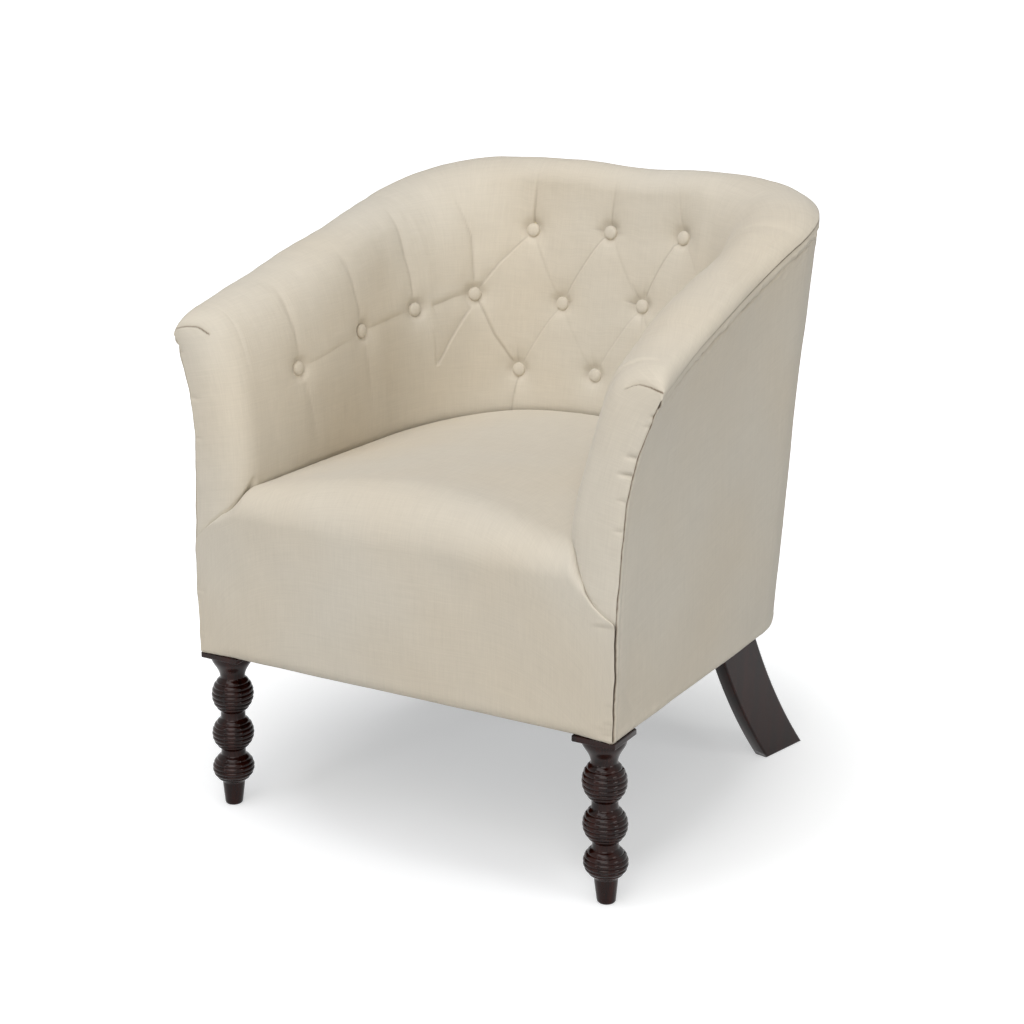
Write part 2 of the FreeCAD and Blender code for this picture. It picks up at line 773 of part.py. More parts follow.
def rail_section(profile):
    """Section of the rail under the rolled top."""
    low = rail_low(profile)
    top = low + size("arm_rail_height")
    outer = profile.outer_reach(low) - OUTER_PLY - GAP
    return [[complex(outer - STOCK, low)], [complex(outer - STOCK, top)],
            [complex(outer, top)], [complex(outer, low)]]


def tack_section(inner, outer):
    """Section of a tack rail above the arm's foot line, between two distances."""
    low = FOOT + size("tack_rail_lift")
    high = low + size("tack_rail_height")

    def pieces(profile):
        a, b = inner(profile), outer(profile)
        return [[complex(a, low)], [complex(a, high)], [complex(b, high)], [complex(b, low)]]
    return pieces


front_profile = Profile(POST_PLACE)
post_heights = (POST_TOP, (POST_TOP + size("knee_height")) / 2, size("knee_height"))
post_curve = tuple(HALF_WIDTH + front_profile.outer_reach(z) - OUTER_PLY - GAP + 1j * z
                   for z in post_heights)
post_inner = tuple(point - size("post_size") for point in reversed(post_curve))
post_base = complex(OUTER_EDGE, FRAME_LOW)
post_front = front_prism([post_curve, (post_base,), (post_base - size("post_size"),), post_inner],
                         -OVERRUN, size("overall_depth"))
post_side = side_prism(leaning_edge(POST_FRONT) + leaning_edge(POST_REAR)[::-1], HALF_WIDTH + OVERRUN)
front_post = fitted(post_front.common(post_side), inside_cover)
ahead_of_post = side_prism(leaning_edge(POST_REAR) + [(-OVERRUN, TOP), (-OVERRUN, 0)],
                           HALF_WIDTH * 2)

pad_front = size("arm_facing_thickness") + GAP
pad_room = side_prism(leaning_edge(pad_front) + leaning_edge(POST_FRONT)[::-1], HALF_WIDTH + OVERRUN)
arm_front_pad = fitted(post_front.common(pad_room), inside_cover,
                       front_band(size("seam_gap"), -OVERRUN, BAND_PLY))

arm_rail = fitted(run_loft(rail_section, FRONT_PLACE, STILE_PLACE), ahead_of_post)
crest_rail = run_loft(rail_section, STILE_PLACE)
stile_corners = board_outline(Profile(STILE_PLACE), size("stile_setback"), RAIL_TOP,
                              rail_low(Profile(STILE_PLACE)))
stile = fitted(prism_on(STILE_PLACE, stile_corners, size("stile_width")), arm_rail, crest_rail)
upright_place = 3 - size("upright_spacing") / 2 / CORNER_X
upright_corners = board_outline(Profile(upright_place), size("upright_setback"), RAIL_TOP,
                                rail_low(Profile(upright_place)))
upright = fitted(prism_on(upright_place, upright_corners, size("upright_width")), crest_rail)
frame_inner = -OUTER_PLY - STOCK
arm_tack = run_loft(tack_section(lambda p: frame_inner, lambda p: -OUTER_PLY), FRONT_PLACE, STILE_PLACE)
arm_tack_rail = fitted(arm_tack, ahead_of_post, stile)
back_tack = run_loft(tack_section(lambda p: WEBBING_PLY - wall_depth(p.place),
                                  lambda p: frame_inner), STILE_PLACE)
back_tack_rail = fitted(back_tack, *both_sides(stile), *both_sides(upright))

ring = rounded_plan(OUTER_EDGE, BACK - OUTER_PLY, OUTER_RADIUS - OUTER_PLY, FRONT + ARM_LENGTH)
core = rounded_plan(OUTER_EDGE - STOCK, BACK - OUTER_PLY - STOCK, OUTER_RADIUS - OUTER_PLY - STOCK,
                    FRONT + ARM_LENGTH - OVERRUN)
rear_seat_rail = plan_prism(ring, FRAME_LOW, RAIL_TOP).cut(plan_prism(core, 0, TOP))

# Rear legs: sabre boards turned outwards, each with a tenon beside the rail.

TURN = math.radians(size("rear_leg_turn"))
LEG_ALONG = V(math.sin(TURN), math.cos(TURN), 0)
LEG_OUT = V(math.cos(TURN), -math.sin(TURN), 0)
LEG_FOOT = V(size("rear_leg_foot_x"), FRONT + size("rear_leg_foot_y"), 0)


def leg_plane(along_leg, height, depth=0.0):
    """Point of the rear leg's outer face, or behind it."""
    return LEG_FOOT + LEG_ALONG * along_leg + V(0, 0, height) - LEG_OUT * depth


foot_half = size("rear_leg_foot_length") / 2
leg_rise = size("leg_height")
front_top = -foot_half - size("rear_leg_sweep")
rear_top = front_top + size("rear_leg_top_length")
tenon_rear = rear_top - size("rear_leg_tenon_back")
tenon_top = leg_rise + size("rear_leg_tenon_height")
bow = size("rear_leg_bow")


def bowed(start, end):
    """Arc between two points of the leg's face that bows forwards."""
    middle = (start + end) / 2 + LEG_OUT.cross(end - start).normalize() * bow
    return Part.Arc(start, middle, end).toShape()


leg_corners = [leg_plane(foot_half, 0), leg_plane(rear_top, leg_rise),
               leg_plane(tenon_rear, leg_rise), leg_plane(tenon_rear, tenon_top),
               leg_plane(front_top, tenon_top), leg_plane(front_top, leg_rise),
               leg_plane(-foot_half, 0)]
leg_edges = [bowed(leg_corners[0], leg_corners[1])]
leg_edges += [Part.LineSegment(a, b).toShape() for a, b in zip(leg_corners[1:5], leg_corners[2:6])]
leg_edges += [bowed(leg_corners[6], leg_corners[5])]
leg_edges += [Part.LineSegment(leg_corners[6], leg_corners[0]).toShape()]
rear_leg = Part.Face(Part.Wire(leg_edges)).extrude(LEG_OUT * -size("rear_leg_thickness"))
rear_bolts = []
for lift in (-0.5, 0.5):
    bolt_height = FRAME_LOW + size("rear_block_height") / 2 + lift * size("rear_bolt_spacing")
    bolt_along = (front_top + tenon_rear) / 2
    head = leg_plane(bolt_along, bolt_height, size("rear_leg_thickness"))
    bolt = rod(head - LEG_OUT * size("rear_bolt_head_height"), LEG_OUT,
               size("rear_bolt_head_radius"), size("rear_bolt_head_height"))
    shank_length = size("rear_leg_thickness") + size("rear_block_thickness")
    rear_bolts.append(bolt.fuse(rod(head, LEG_OUT, size("rear_bolt_radius"), shank_length)))
block_outer = -size("rear_block_thickness")
block_corners = [leg_plane(tenon_rear, 0), leg_plane(front_top, 0),
                 leg_plane(front_top, 0, block_outer), leg_plane(tenon_rear, 0, block_outer)]
rear_block = plan_prism([(corner,) for corner in block_corners], FRAME_LOW,
                        FRAME_LOW + size("rear_block_height"))

# Front legs: a square slab, a cup, three ringed balls and a short foot, turned and splayed.


def ball_outline(top, bottom, rings):
    """Ringed ball between two heights: the points of its rings, three to an arc."""
    half = (top - bottom) / 2
    middle = (top + bottom) / 2
    squeeze = 1 - (size("leg_neck_radius") / size("leg_ball_radius")) ** 2

    def envelope(share):
        return size("leg_ball_radius") * math.sqrt(1 - squeeze * share ** 2)
    arcs = []
    for i in range(rings):
        shares = [1 - 2 * (i + step) / rings for step in (0, 0.5, 1)]
        radii = [envelope(share) for share in shares]
        if i > 0:
            radii[0] -= size("leg_ring_depth")
        if i < rings - 1:
            radii[2] -= size("leg_ring_depth")
        arcs.append([V(r, 0, middle + share * half) for r, share in zip(radii, shares)])
    return arcs


def turned_leg():
    """The turned part about the upright axis, standing on the floor."""
    slab_low = size("leg_height") - size("leg_slab_thickness")
    neck = size("leg_neck_radius")
    half_neck = size("leg_neck_height") / 2
    necks = [size("leg_neck_one"), size("leg_neck_two"), size("leg_neck_three")]
    cup_low = V(neck, 0, necks[0] + half_neck)
    cup_top = V(size("leg_cup_radius"), 0, cup_low.z + size("leg_cup_height"))
    bulge = (cup_top - cup_low).cross(V(0, 1, 0)) * CUP_BULGE_SHARE
    tops = [height - half_neck for height in necks]
    bottoms = [height + half_neck for height in necks[1:]] + [size("leg_foot_height")]
    below = OVERRUN / 8
    foot_top = size("leg_foot_top_radius")
    foot_low = size("leg_foot_bottom_radius")
    edge = size("leg_foot_edge")
    outline = [[V(0, 0, slab_low)], [V(size("leg_cup_radius"), 0, slab_low)], [cup_top]]
    outline += [[cup_top, (cup_top + cup_low) / 2 + bulge, cup_low]]
    for top, bottom, rings in zip(tops, bottoms, BALL_RINGS):
        outline += ball_outline(top, bottom, rings)
    outline += [[V(foot_top, 0, size("leg_foot_height"))], [V(foot_low, 0, edge - below)]]
    outline += [[V(foot_low - edge, 0, -below)], [V(0, 0, -below)]]
    edges = []
    last = outline[-1][-1]
    for piece in outline:
        if last.distanceToPoint(piece[0]) > GAP / 100:
            edges.append(Part.LineSegment(last, piece[0]).toShape())
        if len(piece) == 3:
            edges.append(curve(piece))
        last = piece[-1]
    return Part.Face(Part.Wire(edges)).revolve(V(0, 0, 0), UP, 360)


LEG_X = HALF_WIDTH - size("leg_inset_x")
LEG_Y = FRONT + size("leg_inset_y")
slab = size("leg_slab_size")
slab_box = Part.makeBox(slab, slab, size("leg_slab_thickness"),
                        V(LEG_X - slab / 2, LEG_Y - slab / 2,
                          size("leg_height") - size("leg_slab_thickness")))
turned = turned_leg()
splay_height = size("leg_height") - size("leg_slab_thickness")
splay = math.degrees(math.atan(size("leg_splay") / splay_height))
turned.rotate(V(0, 0, splay_height), V(0, 1, 0), -splay)
turned.translate(V(LEG_X, LEG_Y, 0))
room = Part.makeBox(HALF_WIDTH, HALF_WIDTH, splay_height,
                    V(LEG_X - HALF_WIDTH / 2, LEG_Y - HALF_WIDTH / 2, 0))
hanger_bolt = rod(V(LEG_X, LEG_Y, size("leg_height") - size("hanger_bolt_in_leg")), UP,
                  size("hanger_bolt_radius"),
                  size("hanger_bolt_in_leg") + FRAME_LOW - size("leg_height")
                  + size("hanger_bolt_in_post"))
front_leg = fitted(slab_box.fuse(turned.common(room)).removeSplitter(), hanger_bolt)
pair("front_leg", front_leg)
group("hanger_bolts", both_sides(hanger_bolt))

# Screws of the front corner blocks, from the slanting face into the post.

block_low = FRAME_LOW
inner_x = OUTER_EDGE - STOCK
inner_y = FRONT + BAND_PLY + STOCK
reach = size("front_block_reach")
to_post = V(1, -1, 0).normalize()
screws = []
for share in SCREW_SHARES:
    middle = V(inner_x - reach / 2, inner_y + reach / 2, block_low + share * size("front_block_height"))
    head = Part.makeCone(size("screw_head_radius"), size("screw_radius"), size("screw_head_radius"),
                         middle, to_post)
    screws.append(head.fuse(rod(middle, to_post, size("screw_radius"), size("screw_length"))))

# Sawn timbers, bound to the sheet, and the cuts that fit them to their neighbours.

HALF_INSIDE = "(Sizes.body_half_width - Sizes.outside_cover_thickness - Sizes.outside_ply_gap)"
FRONT_INSIDE = "(Sizes.seat_cover_thickness + Sizes.ply_gap - Sizes.overall_depth / 2)"
LOW_INSIDE = "(Sizes.leg_height + Sizes.dust_cover_thickness)"
STRAIGHT = "(Sizes.overall_depth - Sizes.back_rake - Sizes.outer_corner_radius)"


def sawn_box(label, corner, sides):
    """A straight timber whose corner and sides are expressions in the sheet's names."""
    stock = doc.addObject("Part::Box", label + "_stock")
    for axis, text in zip("xyz", corner):
        stock.setExpression(".Placement.Base." + axis, text)
    for name, text in zip(("Length", "Width", "Height"), sides):
        stock.setExpression(name, text)
    return stock


def cut_piece(label, stock, tools):
    """The stock with its housings and bores cut by its neighbours and fasteners."""
    tool = doc.addObject("Part::Feature", label + "_cuts")
    tool.Shape = Part.makeCompound(tools)
    piece = doc.addObject("Part::Cut", label)
    piece.Label = label
    piece.Base = stock
    piece.Tool = tool
    PIECES.append(piece)
    return piece


def triangle_block(label, side):
    """A three-cornered block in the angle of two rails, padded from a sketch bound to the sheet."""
    body = doc.addObject("PartDesign::Body", label + "_stock")
    sketch = body.newObject("Sketcher::SketchObject", label + "_outline")
    plane = [f for f in body.Origin.OriginFeatures if f.Role == "XY_Plane"][0]
    sketch.AttachmentSupport = [(plane, "")]
    sketch.MapMode = "FlatFace"
    sketch.setExpression("AttachmentOffset.Base.z", LOW_INSIDE)
    outer = f"{side} * ({HALF_INSIDE} - Sizes.timber_thickness)"
    inner = f"{side} * ({HALF_INSIDE} - Sizes.timber_thickness - Sizes.front_block_reach)"
    front = f"{FRONT_INSIDE} + Sizes.timber_thickness"
    rear = f"{FRONT_INSIDE} + Sizes.timber_thickness + Sizes.front_block_reach"
    corners = [(inner, front), (outer, front), (outer, rear)]
    points = [V(sheet.evalExpression(x), sheet.evalExpression(y), 0) for x, y in corners]
    for i in range(len(points)):
        sketch.addGeometry(Part.LineSegment(points[i], points[(i + 1) % len(points)]), False)
    for i in range(len(points)):
        sketch.addConstraint(Sketcher.Constraint("Coincident", i, 2, (i + 1) % len(points), 1))
        for kind, text, value in zip(("DistanceX", "DistanceY"), corners[i], points[i]):
            number = sketch.addConstraint(Sketcher.Constraint(kind, -1, 1, i, 1, value))
            sketch.setExpression("Constraints[%d]" % number, text)
    pad = body.newObject("PartDesign::Pad", label + "_pad")
    pad.Profile = sketch
    pad.setExpression("Length", "Sizes.front_block_height")
    return body


post_screwed = front_post.cut([hanger_bolt] + screws)
pair("front_post", post_screwed)
rail = sawn_box("front_seat_rail",
                (f"Sizes.post_size - {HALF_INSIDE}", FRONT_INSIDE, LOW_INSIDE),
                (f"2 * ({HALF_INSIDE} - Sizes.post_size)", "Sizes.timber_thickness",
                 "Sizes.seat_rail_height"))
rail.Label = "front_seat_rail"
PIECES.append(rail)
rail_rear = f"{FRONT_INSIDE} + Sizes.post_setback + Sizes.post_size"
rail_length = f"{STRAIGHT} - Sizes.overall_depth / 2 - ({rail_rear})"
for name, side, corner_x in (("right", 1, f"{HALF_INSIDE} - Sizes.timber_thickness"),
                             ("left", -1, f"-{HALF_INSIDE}")):
    label = name + "_seat_rail"
    stock = sawn_box(label, (corner_x, rail_rear, LOW_INSIDE),
                     ("Sizes.timber_thickness", rail_length, "Sizes.seat_rail_height"))
    bolts = rear_bolts if side == 1 else [mirrored(bolt) for bolt in rear_bolts]
    cut_piece(label, stock, bolts)
    label = name + "_front_block"
    tools = [front_post] + screws
    tools = tools if side == 1 else [mirrored(tool) for tool in tools]
    cut_piece(label, triangle_block(label, side), tools)
doc.recompute()
right_rail = [p for p in PIECES if p.Label == "right_seat_rail"][0].Shape

all_bolts = rear_bolts + [mirrored(bolt) for bolt in rear_bolts]
rear_seat_rail = rear_seat_rail.cut(all_bolts)
add("rear_seat_rail", rear_seat_rail)
pair("rear_stile", stile)
pair("back_upright", upright)
pair("arm_rail", arm_rail)
add("crest_rail", crest_rail)
pair("arm_tack_rail", arm_tack_rail)
add("back_tack_rail", back_tack_rail)
pair("rear_leg_block", fitted(rear_block, right_rail, rear_seat_rail, *rear_bolts))
rear_leg = rear_leg.cut(rear_bolts)
pair("rear_leg", rear_leg)
group("rear_leg_bolts", all_bolts)
group("block_screws", [hand for screw in screws for hand in both_sides(screw)])

# Seat suspension: sinuous springs held in clips on the front and rear rails.


def spring(x):
    """One sinuous spring: straight bars joined by half turns, from clip to clip."""
    front = FRONT + BAND_PLY + STOCK / 2
    rear = BACK - OUTER_PLY - STOCK / 2
    bars = int((rear - front) / size("spring_pitch"))
    step = (rear - front) / bars
    height = RAIL_TOP + size("clip_height") / 2
    half = size("spring_width") / 2 - step / 2
    edges = []
    hand = 1
    for i in range(bars):
        y = front + i * step
        start = V(x - hand * half, y, height)
        end = V(x + hand * half, y, height)
        edges.append(Part.LineSegment(start, end).toShape())
        turn_end = V(x + hand * half, y + step, height)
        turn_middle = V(x + hand * (half + step / 2), y + step / 2, height)
        edges.append(Part.Arc(end, turn_middle, turn_end).toShape())
        hand = -hand
        last = turn_end
    edges.append(Part.LineSegment(last, V(x + hand * half, rear, height)).toShape())
    first = edges[0].Vertexes[0].Point
    circle = Part.Circle(first, V(1, 0, 0), size("spring_wire_radius")).toShape()
    return Part.Wire(edges).makePipeShell([Part.Wire([circle])], True, False)


springs, clips = [], []
for number in (-2, -1, 0, 1, 2):
    x = number * size("spring_spacing")
    wire = spring(x)
    springs.append(wire)
    for y in (FRONT + BAND_PLY + STOCK / 2, BACK - OUTER_PLY - STOCK / 2):
        clip = Part.makeBox(size("clip_width"), size("clip_length"), size("clip_height"),
                            V(x - size("clip_width") / 2, y - size("clip_length") / 2, RAIL_TOP))
        clips.append(clip.cut(wire))
group("seat_springs", springs)
group("spring_clips", clips)

inside_plan = rounded_plan(OUTER_EDGE, BACK - OUTER_PLY, OUTER_RADIUS - OUTER_PLY, FRONT + BAND_PLY)
cover_low = RAIL_TOP + size("clip_height") + GAP
spring_cover = plan_prism(inside_plan, cover_low, cover_low + size("spring_cover_thickness"))
spring_cover = fitted(spring_cover, *both_sides(front_post), *both_sides(arm_front_pad), *both_sides(stile),
                      *both_sides(upright))
add("spring_cover", spring_cover)
dust_cover = plan_prism(inside_plan, size("leg_height"), FRAME_LOW)
add("dust_cover", fitted(dust_cover, *both_sides(rear_leg), *both_sides(hanger_bolt)))

# Arm and back upholstery under the inside cover.


def ply_section(near, far, count):
    """Section of a ply between two depths, over the first arcs of the padded face and the roll."""
    def layer(profile, depth):
        over, _outward = profile.turned_edge()
        arcs = profile.padded_arcs(depth, over)[:count]
        if count == 2:
            start, _end, way = profile.rise
            end, _way = arc_point(*profile.rise, BURLAP_END_SHARE)
            arcs[1] = profile.inset_arc((start, end, way), depth)
        return arcs

    def pieces(profile):
        back = [arc[::-1] for arc in reversed(layer(profile, far))]
        inner = profile.foot.real
        foot = [[complex(inner + near, FOOT)]]
        return foot + layer(profile, near) + back + [[complex(inner + far, FOOT)]]
    return pieces


foam_start = (size("arm_facing_thickness") + size("front_rounding_depth")) / ARM_LENGTH
foam = ply_section(COVER_PLY, FOAM_PLY - GAP, 4)
arm_foam = run_loft(foam, foam_start, STILE_PLACE)
pair("arm_foam", fitted(arm_foam, front_post, arm_rail, arm_tack_rail, stile, *twine_holes))
back_foam = run_loft(foam, STILE_PLACE)
add("back_foam", fitted(back_foam, crest_rail, back_tack_rail, *both_sides(stile), *both_sides(upright),
                        *twine_holes))
pair("arm_front_pad", arm_front_pad)

burlap = ply_section(FOAM_PLY, BURLAP_PLY - GAP, 2)
arm_burlap = run_loft(burlap, FRONT_PLACE, STILE_PLACE)
pair("arm_burlap", fitted(arm_burlap, ahead_of_post, arm_rail, *twine_holes))
add("back_burlap", fitted(run_loft(burlap, STILE_PLACE), crest_rail, *twine_holes))

webbing = run_loft(ply_section(BURLAP_PLY, WEBBING_PLY - GAP, 1), FRONT_PLACE).cut(twine_holes)


def strap(place):
    """One webbing strap up the wall behind the burlap."""
    point, out = plan(place)
    half = UP.cross(out) * size("webbing_width") / 2
    inner = point - out * OUTER_RADIUS
    outer = point + out * OVERRUN
    corners = [inner - half, outer - half, outer + half, inner + half]
    return fitted(webbing.common(plan_prism([(corner,) for corner in corners], 0, TOP)))


pair("arm_webbing", Part.makeCompound([strap(place) for place, _share in ARM_BUTTON_SHARES]))
back_straps = [strap(3)]
for place in MIDDLE_PLACES + TOP_PLACES[:1]:
    back_straps += both_sides(strap(place))
group("back_webbing", back_straps)

# Outside covers: one ply over each side and one over the back.


def outside_section(profile):
    """Section of the outside ply, from the seam under the rolled top to the lower edge."""
    start, end, way = profile.outer
    top, top_way = arc_point(start, end, way, size("seam_gap") / abs(end - start))
    panel = (top, end, top_way)
    thickness = size("outside_cover_thickness")
    inner_base = profile.base - thickness * 1j * profile.base_way
    inner_base = complex(inner_base.real, profile.base.imag)
    return ([profile.inset_arc(panel, 0), [profile.base], [inner_base]]
            + [profile.inset_arc(panel, thickness)[::-1]])


ahead_of_panel = side_prism(leaning_edge(BAND_PLY) + [(-OVERRUN * 3, TOP), (-OVERRUN * 3, 0)],
                            HALF_WIDTH * 2)
outside_arm = run_loft(outside_section, -FRONT_PLACE * 2, BACK_SEAM_PLACE)
pair("outside_cover", fitted(outside_arm, ahead_of_panel))
add("outside_back_cover", run_loft(outside_section, BACK_SEAM_PLACE))

# Every feature has to be sound before the pieces are written.

doc.recompute()
for feature in doc.Objects:
    if "Invalid" in feature.State or "Error" in feature.State:
        raise RuntimeError(feature.Name + " failed")
for piece in PIECES:
    if piece.Shape.isNull() or not piece.Shape.isValid():
        raise RuntimeError(piece.Label + " is not a sound solid")
os.makedirs("parts", exist_ok=True)
for piece in PIECES:
    piece.Shape.exportStep("parts/" + piece.Label + ".step")
    print(piece.Label, len(piece.Shape.Solids), round(piece.Shape.Volume))
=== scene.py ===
import json
import math

import bpy
import numpy as np
from mathutils import Matrix, Vector


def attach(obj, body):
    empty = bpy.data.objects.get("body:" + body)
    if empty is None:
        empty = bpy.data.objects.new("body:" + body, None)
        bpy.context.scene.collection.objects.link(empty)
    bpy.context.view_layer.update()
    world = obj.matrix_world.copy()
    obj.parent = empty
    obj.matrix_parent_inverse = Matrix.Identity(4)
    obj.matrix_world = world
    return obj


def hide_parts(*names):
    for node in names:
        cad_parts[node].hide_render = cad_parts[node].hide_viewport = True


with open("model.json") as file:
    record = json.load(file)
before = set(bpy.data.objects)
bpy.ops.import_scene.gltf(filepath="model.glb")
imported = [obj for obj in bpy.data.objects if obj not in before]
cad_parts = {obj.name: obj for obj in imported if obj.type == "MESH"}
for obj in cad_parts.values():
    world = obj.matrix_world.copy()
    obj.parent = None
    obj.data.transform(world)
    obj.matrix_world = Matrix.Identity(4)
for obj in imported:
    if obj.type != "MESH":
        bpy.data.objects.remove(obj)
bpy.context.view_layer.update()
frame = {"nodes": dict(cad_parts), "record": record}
scene = bpy.context.scene

# Shapes are worked out in millimetres in the part's own frame, and each mesh is scaled to metres
# when it is made. The floor, the lights and the camera are in metres.

# Main sizes of the chair, the same as the solids'.
FRONT = -306.0
HALF_WIDTH = 300.0
CORNER_RADIUS = 150.0
BACK = 272.0
ARM_LENGTH = BACK - CORNER_RADIUS - FRONT
CORNER_X = HALF_WIDTH - CORNER_RADIUS
SEAT_HALF = 232.0
SEAT_DEPTH = 495.0
SEAT_SIDE = 440.0
SEAT_CROWN = 32.0
LEG_HEIGHT = 217.0
ARM_TOP = 650.0
TOP = 802.0
FOOT = 364.0
KNEE = 450.0
LEAN_SLOPE = 28.0 / (ARM_TOP - FOOT)

# The wall's section: drops from the crest's height, then distances out from the plan line.
ROLL_DROP, SEAM_DROP = 95.0, 27.0
ARM_FLARE, BACK_FLARE, KNEE_FLARE = 40.0, 34.0, 2.0
CREST_FLARE, CORNER_DIP = 22.0, 12.0
ARM_LEAN, BACK_LEAN = 13.0, 37.0
SEAT_BOW = 4.0

# Shares of those sizes at places along the wall, from an arm's front (0) to the back's middle (3).
PLACES = np.array((0, 0.25, 0.5, 0.75, 1, 1.25, 1.5, 1.75, 2, 2.5, 3))
CREST_RISE = (0, 0.14, 0.3, 0.465, 0.66, 0.79, 0.88, 0.945, 0.972, 0.993, 1)
ARM_SHARE = (1, 0.85, 0.65, 0.45, 0.3, 0.2, 0.1, 0.05, 0, 0, 0)
CREST_OUT = (1, 0.77, 0.53, 0.27, 0.02, 0, 0, 0, 0, 0, 0)
BACK_SHARE = (0, 0, 0.1, 0.15, 0.25, 0.35, 0.5, 0.65, 0.8, 0.95, 1)
CORNER_SHARE = (0, 0, 0, 0, 0, 0.2, 0.5, 0.9, 1, 0.6, 0.25)
FRONT_LEAN = (1, 0.5, 0, 0, 0, 0, 0, 0, 0, 0, 0)
INNER_FRONT = (1, 0.4, 0, 0, 0, 0, 0, 0, 0, 0, 0)
INNER_BACK = (0, 0, 0, 0.1, 0.3, 0.45, 0.6, 0.8, 0.95, 1, 1)

# The filled cover stands further out and higher than the bare frame at the rear corners.
CORNER_BULGE = (0, 0, 0, 0.05, 0.45, 0.9, 1, 0.8, 0.45, 0.1, 0)
BULGE, BULGE_RISE, BULGE_AT_CREST = 20.0, 9.0, 0.7
# On the right the seam under the roll is sewn higher, and the roll is stuffed fuller inwards.
SEAM_RISE = (2, 12, 12, 12, 10, 7, 6, 5, 4, 1.5, 0)
ROLL_FULL = (5, 14, 18, 20, 18, 12, 6, 3, 1, 0, 0)
# Waves of the crest: place from 0 at the right arm's front to 6 at the left's, width and rise.
CREST_WAVES = ((2.75, 0.5, -8.5), (4.8, 0.2, -4.0), (5.35, 0.27, 5.2), (5.8, 0.15, 2.5))


def smoothstep(t):
    t = np.clip(t, 0, 1)
    return t * t * (3 - 2 * t)


def bell(x, middle, width):
    return np.exp(-((x - middle) / width) ** 2)


def rolled(distance, radius, share=1.0):
    """How far an edge of that radius has rolled in at a distance from it, or a share of that."""
    t = np.clip(1 - distance / radius, 0, 1)
    return share * radius * (1 - np.sqrt(1 - t ** 2))


def ripple(points, wavelength, seed):
    """Smooth noise from minus one to one over points, the same each run."""
    chance = np.random.default_rng(seed)
    total = np.zeros(points.shape[:-1])
    for _ in range(7):
        way = chance.normal(size=3)
        way *= 2 * np.pi / wavelength / np.linalg.norm(way) * chance.uniform(0.7, 1.4)
        total += np.sin(points @ way + chance.uniform(0, 2 * np.pi))
    return total / 4


def uneven(points, layers):
    """Layers of smooth noise, each given by its rise, wavelength and seed, added up."""
    return sum(rise * ripple(points, wavelength, seed) for rise, wavelength, seed in layers)


def wander(height):
    """How far the upright front seams stray from a straight line at a height."""
    return 0.9 * np.sin(height / 23 + 0.6) + 0.5 * np.sin(height / 9.1) + 0.25 * np.sin(height / 4.3 + 1)


def table(values, place):
    """Smooth curve through a table's values, mirrored at the middle of the back."""
    xs = np.concatenate([PLACES, 6 - PLACES[-2::-1]])
    ys = np.concatenate([values, values[-2::-1]])
    slopes = np.gradient(ys, xs)
    place = np.clip(place, 0, 3)
    i = np.clip(np.searchsorted(xs, place, side="right") - 1, 0, len(xs) - 2)
    gap = xs[i + 1] - xs[i]
    t = (place - xs[i]) / gap
    return ((2 * t ** 3 - 3 * t ** 2 + 1) * ys[i] + (t ** 3 - 2 * t ** 2 + t) * gap * slopes[i]
            + (3 * t ** 2 - 2 * t ** 3) * ys[i + 1] + (t ** 3 - t ** 2) * gap * slopes[i + 1])


def plan(place):
    """Points of the outer plan line and the directions out of the wall, for an array of places."""
    turn = (np.clip(place, 1, 2) - 1) * np.pi / 2
    out = np.stack([np.cos(turn), np.sin(turn)], -1)
    point = np.array([CORNER_X, FRONT + ARM_LENGTH]) + out * CORNER_RADIUS
    point[:, 1] += np.where(place < 1, (place - 1) * ARM_LENGTH, 0)
    point[:, 0] -= np.where(place > 2, (place - 2) * CORNER_X, 0)
    return point, out


def wall_depth(point, out):
    """Thickness of the wall at seat height."""
    rear = FRONT + SEAT_DEPTH
    centre = np.array([SEAT_HALF - CORNER_RADIUS, rear - CORNER_RADIUS])
    offset = point - centre
    reach = (offset * out).sum(-1)
    span = CORNER_RADIUS ** 2 - ((offset ** 2).sum(-1) - reach ** 2)
    depth = reach - np.sqrt(np.maximum(span, 0))
    hit = point - out * depth[:, None]
    round_part = (span > 0) & (hit[:, 0] >= centre[0]) & (hit[:, 1] >= centre[1])
    side_part = (point[:, 1] < rear) & (out[:, 0] > out[:, 1])
    side = (point[:, 0] - SEAT_HALF) / np.where(side_part, out[:, 0], 1)
    back = (point[:, 1] - rear) / np.where(side_part, 1, np.maximum(out[:, 1], 0.1))
    return np.where(round_part, depth, np.where(side_part, side, back))


# Arcs in the wall's section, where a complex number is a distance out and a height.


def unit(number):
    return number / np.abs(number)


def arc_end(start, end, way):
    """Direction in which arcs that leave start along way arrive at end."""
    return unit(end - start) ** 2 / way


def arc_at(start, end, way, share):
    """Points at a share of the turn of arcs that leave start along way."""
    half = np.angle((end - start) / way)
    half = np.where(np.abs(half) < 1e-4, 1e-4, half)
    reach = np.abs(end - start) * np.sin(share * half) / np.sin(half)
    return start + reach * way * np.exp(1j * share * half)


def arc_joint(start, start_way, end, end_way):
    """Where two arcs meet that join start to end smoothly."""
    span = end - start
    total = start_way + end_way
    along = (span.conjugate() * total).real
    bend = 2 * (1 - (start_way.conjugate() * end_way).real)
    reach = (np.sqrt(along ** 2 + bend * np.abs(span) ** 2) - along) / bend
    return (start + end + reach * (start_way - end_way)) / 2


